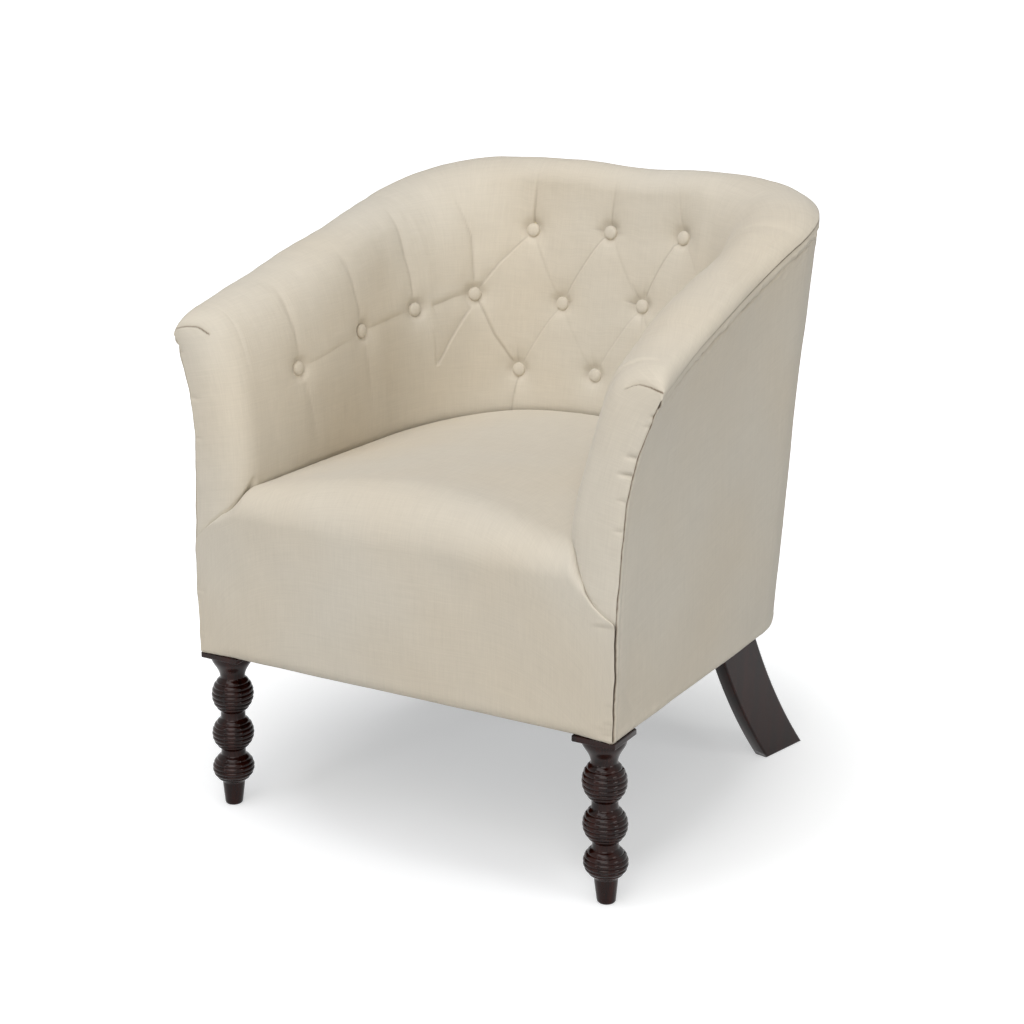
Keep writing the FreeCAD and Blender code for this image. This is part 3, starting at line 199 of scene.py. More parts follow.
class Wall:
    """The wall's section at an array of places from 0, the right arm's front, to 6, the left's."""

    def __init__(self, u):
        u = np.atleast_1d(np.asarray(u, float))
        self.side = np.where(u > 3, -1.0, 1.0)
        place = np.where(u > 3, 6 - u, u)
        self.point, self.out = plan(place)
        self.tilt = table(FRONT_LEAN, place) * LEAN_SLOPE
        arm = table(ARM_SHARE, place)
        back = table(BACK_SHARE, place)
        corner = table(CORNER_BULGE, place)
        bulge = corner * BULGE
        height = ARM_TOP + table(CREST_RISE, place) * (TOP - ARM_TOP)
        height += sum(rise * bell(u, middle, width) for middle, width, rise in CREST_WAVES)
        seam_rise = corner * BULGE_RISE + table(SEAM_RISE, place) * (self.side > 0)
        crest_out = table(CREST_OUT, place) * CREST_FLARE - table(CORNER_SHARE, place) * CORNER_DIP
        lean = table(INNER_FRONT, place) * ARM_LEAN + table(INNER_BACK, place) * BACK_LEAN
        knee_share = (KNEE - LEG_HEIGHT) / (TOP - SEAM_DROP - LEG_HEIGHT)
        inner = -wall_depth(self.point, self.out)
        foot = inner + 1j * FOOT
        seat = inner + 1j * SEAT_SIDE
        roll = inner + lean + 1j * (height - ROLL_DROP)
        crest = crest_out + bulge * BULGE_AT_CREST + 1j * height
        seam = arm * ARM_FLARE + back * BACK_FLARE + bulge + 1j * (height - SEAM_DROP + seam_rise)
        self.knee = arm * KNEE_FLARE + (back * BACK_FLARE + bulge) * knee_share + 1j * KNEE
        self.base = 0 * inner + 1j * LEG_HEIGHT
        chord = roll - seat
        seat_way = unit(chord) * np.exp(2j * np.arctan(2 * SEAT_BOW / np.abs(chord)))
        roll_way = arc_end(seat, roll, seat_way)
        level = np.ones_like(roll_way)
        joint = arc_joint(roll, roll_way, crest, level)
        self.arcs = [
            (foot, seat, 1j * level),
            (seat, roll, seat_way),
            (roll, joint, roll_way),
            (joint, crest, arc_end(roll, joint, roll_way)),
            (crest, seam, level),
        ]
        base_way = unit(self.base - self.knee)
        self.outer = (seam, self.knee, unit(self.knee - seam) ** 2 / base_way)

    def spot(self, number):
        """Points in the part's frame from distances out and heights."""
        xy = self.point + self.out * number.real[:, None]
        y = xy[:, 1] + self.tilt * np.maximum(number.imag - FOOT, 0)
        return np.stack([xy[:, 0] * self.side, y, number.imag], -1)

    def inner_at(self, s):
        """Points of the padded side: s is -1 at the foot, 0 at the seat, 1 where the roll
        starts, 3 at the crest and 4 at the seam under the roll."""
        i = int(min(max(math.floor(s), -1), 3))
        return self.spot(arc_at(*self.arcs[i + 1], s - i))

    def outer_at(self, s):
        """Points of the outer face: s is 0 at the seam, 1 at the knee and 2 at the base."""
        if s <= 1:
            return self.spot(arc_at(*self.outer, s))
        return self.spot(self.knee + (self.base - self.knee) * (s - 1))


def wall_point(u, s):
    return Wall(u).inner_at(s)[0]


def wall_line(spots):
    """Polyline on the padded side through (u, s) pairs, with steps between them."""
    points = []
    for (u0, s0), (u1, s1) in zip(spots, spots[1:]):
        for t in np.arange(0, 1, 0.125):
            points.append(wall_point(u0 + t * (u1 - u0), s0 + t * (s1 - s0)))
    points.append(wall_point(*spots[-1]))
    return np.array(points)


# Grids and cloths.


def grid_normals(grid, flip=1.0):
    """Unit normals of a grid of points; flip turns them over."""
    normal = np.cross(np.gradient(grid, axis=1), np.gradient(grid, axis=0)) * flip
    length = np.linalg.norm(normal, axis=-1, keepdims=True)
    return normal / np.maximum(length, 1e-9)


def lengths_of(grid, axis):
    """Arc lengths along one way of a grid, from its first line."""
    steps = np.linalg.norm(np.diff(grid, axis=axis), axis=-1)
    start = np.zeros_like(np.take(steps, [0], axis=axis))
    return np.concatenate([start, np.cumsum(steps, axis=axis)], axis=axis)


def unrolled(grid, row):
    """Flat places of a grid in metres, measured along that row and up each column."""
    across = np.broadcast_to(lengths_of(grid, 1)[row], grid.shape[:2])
    return np.stack([across, lengths_of(grid, 0)], -1) / 1000


def grid_faces(rows, columns, closed=False, flip=False):
    """Quads of a grid; closed joins its last column to its first."""
    index = np.arange(rows * columns).reshape(rows, columns)
    if closed:
        index = np.concatenate([index, index[:, :1]], axis=1)
    quads = np.stack([index[:-1, :-1], index[:-1, 1:], index[1:, 1:], index[1:, :-1]], -1)
    quads = quads.reshape(-1, 4)
    return quads[:, ::-1] if flip else quads


def mesh_piece(name, points, faces, uv=None, crease_shade=None):
    """A smooth mesh object from points in millimetres and faces; uv has a pair for each point,
    and crease_shade gives each point's painted shade, darkest in folds and seams."""
    mesh = bpy.data.meshes.new(name)
    faces = np.asarray(faces)
    mesh.vertices.add(len(points))
    mesh.vertices.foreach_set("co", (np.asarray(points, np.float32) / 1000).ravel())
    mesh.loops.add(faces.size)
    mesh.loops.foreach_set("vertex_index", faces.ravel().astype(np.int32))
    mesh.polygons.add(len(faces))
    mesh.polygons.foreach_set("loop_start", np.arange(0, faces.size, faces.shape[1], dtype=np.int32))
    mesh.polygons.foreach_set("use_smooth", np.full(len(faces), True))
    if uv is not None:
        layer = mesh.uv_layers.new(name="UVMap")
        layer.data.foreach_set("uv", np.asarray(uv, np.float32)[faces.ravel()].ravel())
    if crease_shade is not None:
        mark = mesh.attributes.new("crease_shade", "FLOAT", "POINT")
        mark.data.foreach_set("value", np.asarray(crease_shade, np.float32).ravel())
    mesh.update(calc_edges=True)
    mesh.validate()
    piece = bpy.data.objects.new(name, mesh)
    scene.collection.objects.link(piece)
    return piece


class Cloth:
    """A cloth as a grid of points: its normals, how far each point is moved along its normal, and
    marks of painted shade, a dark colour laid into its creases and seams."""

    def __init__(self, grid, normals, marks=None):
        self.grid = grid
        self.normals = normals
        self.shift = np.zeros(grid.shape[:2])
        self.marks = np.zeros(grid.shape[:2]) if marks is None else marks

    def moved(self):
        return self.grid + self.normals * self.shift[..., None]

    # Painted shade: each point keeps the deeper of its old and new marks.
    def mark(self, where, depth):
        self.marks[where] = np.maximum(self.marks[where], depth)

    def near(self, line, reach):
        """Where the grid is within reach of a polyline: the mask, the signed distance across the
        line and the share of its length."""
        low, high = line.min(0) - reach, line.max(0) + reach
        mask = np.all((self.grid > low) & (self.grid < high), axis=-1)
        points, ups = self.grid[mask], self.normals[mask]
        best = np.full(len(points), 1e9)
        share = np.zeros(len(points))
        hand = np.ones(len(points))
        steps = np.linalg.norm(np.diff(line, axis=0), axis=1)
        ends = np.concatenate([[0], np.cumsum(steps)])
        for a, b, start, length in zip(line[:-1], line[1:], ends, steps):
            way = (b - a) / length
            t = np.clip((points - a) @ way, 0, length)
            off = points - a - t[:, None] * way
            distance = np.linalg.norm(off, axis=1)
            closer = distance < best
            best = np.where(closer, distance, best)
            share = np.where(closer, (start + t) / ends[-1], share)
            across = (np.cross(way, ups) * off).sum(-1)
            hand = np.where(closer, np.where(across < 0, -1.0, 1.0), hand)
        return mask, best * hand, share

    def fold(self, line, depth, sharp=1.1, soft=6.5, fade_in=0.02, fade_out=0.25, lift=0.1, painted_shade=None):
        """A fold along a polyline: steep on its negative side, soft on the other, with painted shade along
        its line; painted_shade sets how dark that is.
        """
        mask, across, share = self.near(line, 26)
        ends = smoothstep(share / fade_in) * smoothstep((1 - share) / fade_out)
        dip = -depth * np.exp(-np.abs(across) / np.where(across > 0, soft, sharp))
        brow = lift * depth * bell(across, -sharp * 2.8, sharp * 2.2)
        self.shift[mask] += (dip + brow) * ends
        self.mark(mask, (0.1 * depth if painted_shade is None else painted_shade) * ends * bell(across, 0, 1.25))

    def hollow(self, line, depth, width, fade_in, fade_out):
        """A wide soft valley along a polyline."""
        mask, across, share = self.near(line, width * 3)
        ends = smoothstep(share / fade_in) * smoothstep((1 - share) / fade_out)
        self.shift[mask] -= depth * bell(across, 0, width) * ends

    def lap(self, line, drop, lip, reach=9.0):
        """A lapped fold along a polyline: a lip on one side over a drop on the other, with a dark line of
        painted shade under the lip.
        """
        mask, across, share = self.near(line, 30)
        ends = smoothstep(share / 0.2) * smoothstep((1 - share) / 0.06)
        step = np.where(across > 0, lip * np.exp(-across / reach), -drop * np.exp(across / reach * 1.3))
        self.shift[mask] += step * ends
        self.mark(mask, 0.95 * np.sqrt(ends) * bell(across, -0.5, 1.0))

    def onto(self, spots):
        """Spots moved along the cloth's normals onto the cloth."""
        placed = []
        for spot in spots:
            nearest = np.unravel_index(np.linalg.norm(self.grid - spot, axis=-1).argmin(), self.marks.shape)
            up = self.normals[nearest]
            placed.append(spot + up * ((self.grid[nearest] - spot) @ up))
        return np.array(placed)

    def extend(self, axis, end, ways, mark=0.0):
        """Lines added beyond an end of the grid, each set off from the end line by a way, with mark as their
        painted shade.
        """
        line = np.take(self.grid, [end], axis=axis)
        lines = [line + np.asarray(way, float) for way in ways]
        marks = np.full_like(np.take(self.marks, [0] * len(lines), axis=axis), mark)
        if end == 0:
            self.grid = np.concatenate(lines[::-1] + [self.grid], axis=axis)
            self.marks = np.concatenate([marks, self.marks], axis=axis)
        else:
            self.grid = np.concatenate([self.grid] + lines, axis=axis)
            self.marks = np.concatenate([self.marks, marks], axis=axis)

    def piece(self, name, uv, flip=False):
        faces = grid_faces(*self.marks.shape, flip=flip)
        return mesh_piece(name, self.grid.reshape(-1, 3), faces, uv.reshape(-1, 2), self.marks)


# The padded inside cover as one grid: rows go up the section, columns go from the right
# arm's outer front seam round its front, along the wall and round the left arm's front.
WRAP = 44.0
SEAM_HALF_GAP = 1.5
SEAM_WANDER = 0.8
FRONT_COLUMNS = 76
ROW_COUNTS = (26, 160, 34, 30, 28)
# Heights on the outer front seam that the rows at -1, 0, 1, 2, 3 and 4 run to.
FRONT_SEAM_HEIGHTS = (352, 432, 535, 590, 612, 623)
# Distances between columns, at places along the wall.
PITCH_PLACES = (0.0, 0.15, 0.35, 0.8, 0.95, 3.0)
PITCHES = (1.8, 2.6, 3.0, 2.6, 1.5, 1.5)
# Round an arm's front: shares of the columns and of the width that the turn takes, how round the
# turn is, and how the columns crowd towards the seam.
TURN_COLUMNS, TURN_WIDTH, ROUNDNESS, CROWDING = 0.62, 0.7, 0.8, 0.3


def leaning(z):
    """Where the arms' fronts stand at a height, as they lean back above their feet."""
    return FRONT + np.maximum(z - FOOT, 0) * LEAN_SLOPE


def front_seam(height, side):
    """Points of the outer front seam at heights."""
    out = Wall(0.0)
    line = np.array([out.outer_at(s)[0] for s in np.linspace(0, 2, 400)])
    x = np.interp(height, line[::-1, 2], line[::-1, 0])
    return np.stack([side * x, leaning(height), height], -1)


def column_places():
    """Places of the columns along the wall: close together over the back, wider on the arms."""
    fine = np.linspace(WRAP / ARM_LENGTH, 3, 6000)
    steps = np.linalg.norm(np.diff(Wall(fine).inner_at(0.4), axis=0), axis=1)
    middle = (fine[1:] + fine[:-1]) / 2
    pitch = np.interp(middle, PITCH_PLACES, PITCHES)
    count = np.concatenate([[0], np.cumsum(steps / pitch)])
    half = np.interp(np.linspace(0, count[-1], int(count[-1]) + 1), count, fine)
    return np.concatenate([half, 6 - half[-2::-1]])


def front_path(count):
    """Across-share and depth-share pairs of the path round an arm's front, from wall to seam.
    The share is of the width; depth is 1 at the wall and 0 at the foremost point."""
    turn = np.linspace(0, np.pi / 2, int(count * TURN_COLUMNS))[1:]
    across = TURN_WIDTH * (1 - np.cos(turn) ** ROUNDNESS)
    depth = 1 - np.sin(turn) ** ROUNDNESS
    flat = np.linspace(TURN_WIDTH, 1, count - len(turn) + 1)[1:]
    flat = 1 - (1 - flat) ** (1 + CROWDING) / (1 - TURN_WIDTH) ** CROWDING
    return np.concatenate([across, flat]), np.concatenate([depth, np.zeros(len(flat))])


# The cloth on an arm's front dips a little to the seam, from a share of the width on, and rounds
# into it; both fade where the front is narrower than these widths.
FRONT_DIP, DIP_START, DIP_WIDTH = 1.2, 0.65, 40
FRONT_ROUND, ROUND_WIDTH = 2.6, 20


def arm_front(start, side, rows):
    """Columns round an arm's front, from the wall's first column to the outer seam."""
    across, depth = front_path(FRONT_COLUMNS)
    ahead = Wall(0.0 if side == 1 else 6.0)
    ideal = np.array([ahead.inner_at(s)[0] for s in rows])
    outer = front_seam(np.interp(rows, range(-1, 5), FRONT_SEAM_HEIGHTS), side)
    width = np.linalg.norm(outer - ideal, axis=1)[:, None]
    wide = np.minimum(1, width / DIP_WIDTH)
    points = ideal[:, None] + (outer - ideal)[:, None] * across[None, :, None]
    points[..., 1] = leaning(points[..., 2])
    points += (start - ideal)[:, None] * depth[None, :, None]
    edge = FRONT_ROUND * np.minimum(1, width / ROUND_WIDTH)
    inward = np.clip(1 - (1 - across) * width / np.maximum(edge, 0.1), 0, 1)
    points[..., 1] += FRONT_DIP * np.clip((across - DIP_START) / (1 - DIP_START), 0, 1) ** 2 * wide
    points[..., 1] += edge * (1 - np.sqrt(1 - 0.5 * inward ** 2))
    points[..., 0] -= side * SEAM_HALF_GAP * across ** 4
    points[..., 0] += side * SEAM_WANDER * wander(points[..., 2]) * across ** 6 * wide
    return points


def inside_grid():
    """Places of the wall's columns, shares of the rows, and the grid of points."""
    places = column_places()
    rows = [np.linspace(s, s + 1, count)[:-1] for s, count in enumerate(ROW_COUNTS, -1)]
    rows = np.concatenate(rows + [[4.0]])
    wall = Wall(places)
    grid = np.array([wall.inner_at(s) for s in rows])
    right, left = arm_front(grid[:, 0], 1, rows), arm_front(grid[:, -1], -1, rows)
    return places, rows, np.concatenate([right[:, ::-1], grid, left], axis=1)


# Tufting: places of the buttons and of the folds at them, as (u, s) pairs.
T_RIGHT, T_MID, T_LEFT = (2.235, 1.165), (2.967, 1.16), (3.744, 1.0)
M_FAR_RIGHT, M_RIGHT, M_LEFT, M_FAR_LEFT = (1.719, 0.68), (2.576, 0.68), (3.39, 0.635), (4.27, 0.68)
B_RIGHT, B_MID, B_LEFT = (2.235, 0.28), (2.998, 0.29), (3.775, 0.27)
ARM_BUTTONS = [(0.336, 0.877), (0.688, 0.823), (0.953, 0.766)]
BUTTONS = [T_RIGHT, T_MID, T_LEFT, M_FAR_RIGHT, M_RIGHT, M_LEFT, M_FAR_LEFT, B_RIGHT, B_MID, B_LEFT]
BUTTONS += ARM_BUTTONS + [(6 - u, s) for u, s in ARM_BUTTONS]

# Folds between buttons, with depth and bow: the deep ones fall to the left from the top row.
DIAMONDS = (
    (T_LEFT, M_FAR_LEFT, 2.6, -0.01), (T_MID, M_LEFT, 2.6, 0.01), (T_RIGHT, M_RIGHT, 2.8, 0.025),
    (T_LEFT, M_LEFT, 0.5, -0.01), (T_MID, M_RIGHT, 0.5, -0.01), (T_RIGHT, M_FAR_RIGHT, 0.3, 0.0),
    (M_FAR_LEFT, B_LEFT, 2.4, 0.0), (M_LEFT, B_LEFT, 1.6, 0.01), (M_RIGHT, B_MID, 1.3, 0.01),
    (M_LEFT, B_MID, 0.3, 0.0), (M_RIGHT, B_RIGHT, 0.9, 0.0), (M_FAR_RIGHT, B_RIGHT, 1.8, 0.0),
)
# Folds from the top row up over the roll, with depth and drift along the wall.
ROLL_FOLDS = ((T_RIGHT, 1.5, 0.05), (T_MID, 2.3, -0.06), (T_LEFT, 3.6, -0.03))
# Short star folds at buttons: steps along and up, and depth.
STAR_FOLDS = (
    (T_MID, ((0.21, 0.02, 1.9), (-0.2, 0.02, 0.7))),
    (T_LEFT, ((0.14, 0.05, 0.8), (-0.12, 0.0, 0.5))),
    (T_RIGHT, ((0.09, 0.09, 0.9), (-0.03, -0.16, 0.6))),
    (M_LEFT, ((0.13, 0.03, 1.2), (-0.14, 0.03, 1.4))),
    (M_FAR_LEFT, ((-0.12, 0.05, 1.2), (0.12, 0.02, 1.0))),
    (M_RIGHT, ((0.2, 0.03, 2.4), (-0.12, 0.04, 1.2), (0.12, 0.14, 1.3), (-0.03, 0.13, 0.9),
               (-0.05, -0.16, 0.8))),
    (B_LEFT, ((0.02, 0.16, 1.0),)),
    (B_MID, ((0.14, 0.03, 1.0), (0.03, 0.16, 0.7))),
)
# Soft creases up and down from the arms' buttons, with depth; the last one shows on the left only.
ARM_CREASES = (
    (((0.33, 0.95), (0.315, 1.85), (0.32, 2.4), (0.33, 2.8)), 1.7),
    (((0.67, 0.9), (0.65, 1.36), (0.635, 2.14), (0.63, 2.6)), 1.6),
    (((0.945, 0.84), (0.93, 1.42), (0.93, 2.17), (0.94, 2.7)), 2.2),
    (((0.345, 0.8), (0.42, 0.03)), 1.2),
    (((0.69, 0.75), (0.72, 0.1)), 1.0),
    (((1.71, 0.74), (1.67, 1.0), (1.5, 1.76), (1.46, 2.3)), 2.6),
)
# The wedge-shaped tuck where an arm meets the back, and the short fold that rises from its tip.
CORNER_TUCK = ((1.679, 0.62), (1.25, 0.48), (1.015, 0.365))
TUCK_TIP = ((1.015, 0.365), (1.02, 0.5), (0.985, 0.68))

# A button lies that deep in its dimple, which is steep at its rim and shallow further out: the
# share of each slope, and its width.
BUTTON_RIM = 8.0
BUTTON_SINK = 8.5
DIMPLE = 8.7
DIMPLE_SLOPES = ((0.55, 7), (0.45, 19))


def wall_frame(u, s):
    """Point of the padded face and the unit normal there, towards the seat."""
    along = wall_point(u + 0.02, s) - wall_point(u - 0.02, s)
    normal = np.cross(wall_point(u, s + 0.02) - wall_point(u, s - 0.02), along)
    return wall_point(u, s), normal / np.linalg.norm(normal)


BUTTON_FRAMES = [wall_frame(u, s) for u, s in BUTTONS]


def between(a, b, start=0.07, end=0.93, bow=0.0):
    """Line from one button to another, bowed sideways by a share of the row height. Above 1 the
    shares stand closer together on the wall, by about 0.4."""
    low, high = (s if s < 1 else 1 + (s - 1) * 0.4 for s in (a[1], b[1]))
    spots = []
    for t in np.linspace(start, end, 9):
        s = low + t * (high - low) + bow * 4 * t * (1 - t)
        spots.append((a[0] + t * (b[0] - a[0]), s if s < 1 else 1 + (s - 1) / 0.4))
    return wall_line(spots)


def dimple(cloth):
    """Hollows round the buttons, with painted shade above each."""
    for spot, _ in BUTTON_FRAMES:
        rim = np.maximum(np.linalg.norm(cloth.grid - spot, axis=-1) - BUTTON_RIM, 0)
        cloth.shift -= DIMPLE * sum(share * bell(rim, 0, width) for share, width in DIMPLE_SLOPES)
        # Painted shade over the upper slope of each hollow.
        overhead = smoothstep((cloth.grid[..., 2] - spot[2] + 6) / 10)
        cloth.mark(..., 0.13 * bell(rim, 0, 6.5) * overhead)


def tuft_back(cloth):
    for a, b, depth, bow in DIAMONDS:
        cloth.fold(between(a, b, bow=bow), depth, fade_in=0.06, fade_out=0.08)
    for (u, s), depth, drift in ROLL_FOLDS:
        spots = [(u, s + 0.06), (u + drift * 0.1, 1.32), (u + drift * 0.5, 1.8), (u + drift, 2.5)]
        cloth.fold(wall_line(spots), depth, soft=8, fade_in=0.03, fade_out=0.8)
    u, s = T_MID
    cloth.fold(wall_line([(u - 0.035, s + 0.07), (u - 0.03, 1.3), (u - 0.04, 1.5)]), 1.3,
               fade_in=0.03, fade_out=0.8)
    for (u, s), depth, side in ((B_RIGHT, 1.0, -1), (B_LEFT, 2.6, 1)):
        cloth.fold(wall_line([(u, s - 0.03), (u + side * 0.03, 0.12), (u + side * 0.05, 0.0)]), depth,
                   fade_in=0.06, fade_out=0.05)
    for (u, s), reaches in STAR_FOLDS:
        for du, ds, depth in reaches:
            spots = [(u + du * 0.22, s + ds * 0.22), (u + du, s + ds)]
            cloth.fold(wall_line(spots), depth, soft=3.0, fade_in=0.05, fade_out=0.8, painted_shade=0.16 * depth)


def tuft_arm(cloth, side):
    """A loose fold from button to button, soft creases up and down, and the tuck at the back."""
    def hand(spots):
        return spots if side > 0 else [(6 - u, s) for u, s in spots]
    chain = hand(ARM_BUTTONS + [M_FAR_RIGHT])
    for a, b, depth in zip(chain, chain[1:], (1.2, 2.0, 2.4)):
        cloth.fold(between(a, b, 0.06, 0.94), depth, sharp=3.5, soft=12, fade_in=0.1, fade_out=0.35,
                   lift=0.2, painted_shade=0.03 * depth)
    for spots, depth in ARM_CREASES[:-1] if side > 0 else ARM_CREASES:
        line = wall_line(hand(spots))
        cloth.hollow(line, depth, 9.0, 0.15, 0.5)
        cloth.fold(line, depth * 0.5, sharp=1.6, soft=5, fade_in=0.06, fade_out=0.7, lift=0.5,
                   painted_shade=0.08 * depth)
    cloth.fold(wall_line(hand(CORNER_TUCK)), 2.2, fade_in=0.05, fade_out=0.12, painted_shade=0.24)
    cloth.fold(wall_line(hand(TUCK_TIP)), 0.6, fade_in=0.05, fade_out=0.6)


# How much fuller the padding stands at the foot of an arm's front, how far back and how high that
# goes, from where outwards, and the left side's shares of it and of the roll's stuffing.
ARM_FULL, FULL_BACK, FULL_TOP, FULL_FADE, FULL_FROM = 9.0, 120, 560, 110, 200
LEFT_ARM_SHARE, LEFT_ROLL_SHARE = 0.4, 0.35


def pad(cloth, places, rows, from_wall):
    """Padding that stands fuller at the arms' fronts, above the seat and in the roll."""
    x, y, z = np.moveaxis(cloth.grid, -1, 0)
    fuller = ARM_FULL * bell(y, FRONT, FULL_BACK) * smoothstep((FULL_TOP - z) / FULL_FADE)
    fuller *= np.abs(x) > FULL_FROM
    fuller *= np.where(x > 0, 1.0, LEFT_ARM_SHARE)
    cloth.shift += fuller * smoothstep((0.55 - from_wall) / 0.5)
    columns = np.concatenate([np.zeros(FRONT_COLUMNS), places, np.full(FRONT_COLUMNS, 6.0)])
    stuffing = table(ROLL_FULL, np.minimum(columns, 6 - columns))
    stuffing *= np.where(columns < 3, 1.0, LEFT_ROLL_SHARE)
    over_roll = np.cos(np.clip((rows - 2.1) / 1.1, -1, 1) * np.pi / 2) ** 2
    cloth.shift += over_roll[:, None] * stuffing * (1 - smoothstep(from_wall / 0.5))


# Radius of the seat's front edge at its sides, and its gain at the middle; and how far the top
# falls towards its rear.
EDGE_RADIUS, EDGE_GAIN = 34.0, 36.0
SEAT_FALL, FALL_LENGTH = 8.0, SEAT_DEPTH + 30.6


def seat_crown(x):
    return 1 - np.clip(np.abs(x) / SEAT_HALF, 0, 1) ** 2


def edge_radius(x):
    return EDGE_RADIUS + EDGE_GAIN * seat_crown(x)


def seat_top(x, depth):
    """Height of the seat's top over a point, from its distance behind the front."""
    radius = edge_radius(x)
    fall = SEAT_FALL * np.clip((depth - radius) / (FALL_LENGTH - radius), 0, 1) ** 2
    ahead = np.clip(radius - depth, 0, radius)
    return SEAT_SIDE + SEAT_CROWN * seat_crown(x) - fall - radius + np.sqrt(radius ** 2 - ahead ** 2)


# Lines on the front where the arms' fronts meet the seat cover: distance from the middle, height.
EAR_RIGHT = np.array([(300, 362), (296, 365), (290, 367.5), (283, 371), (275, 377), (268, 383),
                      (260, 393), (254, 404), (248.5, 417), (244, 432), (240, 441), (233, 452)])
EAR_LEFT = np.array([(300, 369), (296, 373), (290, 379), (283, 386), (275, 393), (268, 399),
                     (261, 406), (252, 413), (245, 420), (239, 430), (236, 441), (233, 452)])


def ear_height(x):
    right, left = (np.interp(np.abs(x), ear[::-1, 0], ear[::-1, 1]) for ear in (EAR_RIGHT, EAR_LEFT))
    return np.where(x > 0, right, left)


def left_tip(x):
    """One out at the tip of the left ear, where the covers lie flatter, and zero elsewhere."""
    return smoothstep((-x - 262) / 25)


# How far the cloth dips in where it meets the seat and the ears, and over what height; and how
# far it slopes in behind the ears.
SEAT_DIP, SEAT_DIP_HEIGHT = 3.2, 5
EAR_DIP, EAR_DIP_HEIGHT = 1.5, 3.0
BEHIND_SLOPE, BEHIND_DEPTH = 0.4, 6


def meet_seat(cloth, from_wall):
    """The cloth dips in where it meets the seat and the seat cover's ears."""
    x, y, z = np.moveaxis(cloth.grid, -1, 0)
    in_wall = from_wall < 0.02
    above_seat = z - seat_top(x, np.maximum(y - FRONT, 0)) + 4
    cloth.shift -= np.where(in_wall, SEAT_DIP * np.exp(-np.maximum(above_seat, 0) / SEAT_DIP_HEIGHT), 0)
    above_ear = z - ear_height(x)
    sink = EAR_DIP * np.exp(-np.maximum(above_ear, 0) / EAR_DIP_HEIGHT)
    sink += np.clip(-above_ear * BEHIND_SLOPE, 0, BEHIND_DEPTH)
    sink *= 1 - 0.7 * left_tip(x) * (above_ear > -2)
    cloth.shift -= np.where(in_wall, 0, sink * smoothstep(from_wall / 0.12))


# Dart over each arm's front, and how far its lip stands over the drop beside it.
DART = np.array([(289, -271.5, 627), (293.3, -273.1, 629.8), (301.4, -273.6, 634.1), (308.5, -274.5, 636.4),
                 (322.3, -277.0, 635.4), (333, -278, 632.5), (339.8, -277.5, 630.0)])
DART_DROP, DART_LIP = 2.6, 1.2
# Gathers into the outer seams: side, distances from the middle, height and depth.
GATHERS = (
    (1, 286, 312, 535, 2.2), (1, 294, 315, 556, 1.8), (1, 320, 338, 603, 1.3), (1, 312, 334, 592, 0.9),
    (1, 285, 303, 470, 0.9), (1, 288, 304, 505, 0.8),
    (-1, 290, 314, 548, 1.0), (-1, 320, 338, 603, 0.9), (-1, 286, 306, 498, 0.6),
)


def gather(cloth):
    for side, start, end, z, depth in GATHERS:
        spots = [(side * (start + (end - start) * t), leaning(z), z + 3 * t * (1 - t))
                 for t in np.linspace(0, 1, 7)]
        line = cloth.onto(spots)
        cloth.hollow(line, depth, 3.2, 0.75, 0.1)
        cloth.fold(line, depth * 0.3, fade_in=0.8, fade_out=0.1, painted_shade=0.13 * depth)


# Wide unevenness of the hand-laid padding, and fine unevenness of the cloth.
PADDING_LAYERS = ((1.0, 150, 3), (0.35, 45, 5), (0.1, 16, 8))


def inside_cover_piece():
    places, rows, base = inside_grid()
    normals = grid_normals(base, -1.0)
    to_tip = smoothstep((rows - 3.1) / 0.5)[:, None, None]
    for columns in (slice(0, FRONT_COLUMNS), slice(-FRONT_COLUMNS, None)):
        normals[:, columns] = normals[:, columns] * (1 - to_tip) + np.array([0, -0.995, 0.1]) * to_tip
    # How far each column lies from the wall, on its way round an arm's front.
    round_front = np.linspace(1, 0, FRONT_COLUMNS)
    from_wall = np.concatenate([round_front, 0 * places, round_front[::-1]])

    tufted = Cloth(base, normals)
    dimple(tufted)
    tuft_back(tufted)
    tuft_arm(tufted, 1)
    tuft_arm(tufted, -1)
    pad(tufted, places, rows, from_wall)
    meet_seat(tufted, from_wall)
    tufted.shift += uneven(base, PADDING_LAYERS)
    tufted.shift[-8:] *= np.linspace(1, 0.2, 8)[:, None]

    stitched = Cloth(tufted.moved(), normals, tufted.marks)
    for side in (1, -1):
        stitched.lap(stitched.onto(DART * (side, 1, 1))[::side], DART_DROP, DART_LIP)
    gathered = Cloth(base, normals, tufted.marks)
    gather(gathered)
    cloth = Cloth(stitched.moved() + normals * gathered.shift[..., None], normals, tufted.marks)

    # The cloth turns in at the outer seams of the arms' fronts and under the roll; the seam edges
    # and the turned-in strips carry painted shade.
    puckered = 0.75 + 0.25 * ripple(base, 12, 33)
    for column, depth in ((0, 0.9), (-1, 0.3), (1, 0.12)):
        cloth.mark((slice(None), column), depth * puckered[:, column])
    cloth.mark(-1, 0.55 * puckered[-1])
    for end, side, mark in ((0, 1, 0.9), (-1, -1, 0.3)):
        cloth.extend(1, end, [(-0.9 * side, 1.0, 0), (-2.9 * side, 3.3, 0), (-5.4 * side, 5.8, 0)], mark)
    inward = -np.pad(normals[-1], ((3, 3), (0, 0)), mode="edge")
    inward[:FRONT_COLUMNS + 6] = (-0.8, 0.6, 0.1)
    inward[-FRONT_COLUMNS - 6:] = (0.8, 0.6, 0.1)
    turned_in = ((1.4, -0.2), (3.6, 0.2), (6.2, 0.8))
    cloth.extend(0, -1, [inward * reach + (0, 0, rise) for reach, rise in turned_in], 1.0)
    return cloth.piece("inside_cover_cloth", unrolled(cloth.grid, 150), flip=True)


# Seat cover: one cloth from the rear over the crowned top and down the front to its lower edge.
COVER_HALF = SEAT_HALF + 0.5
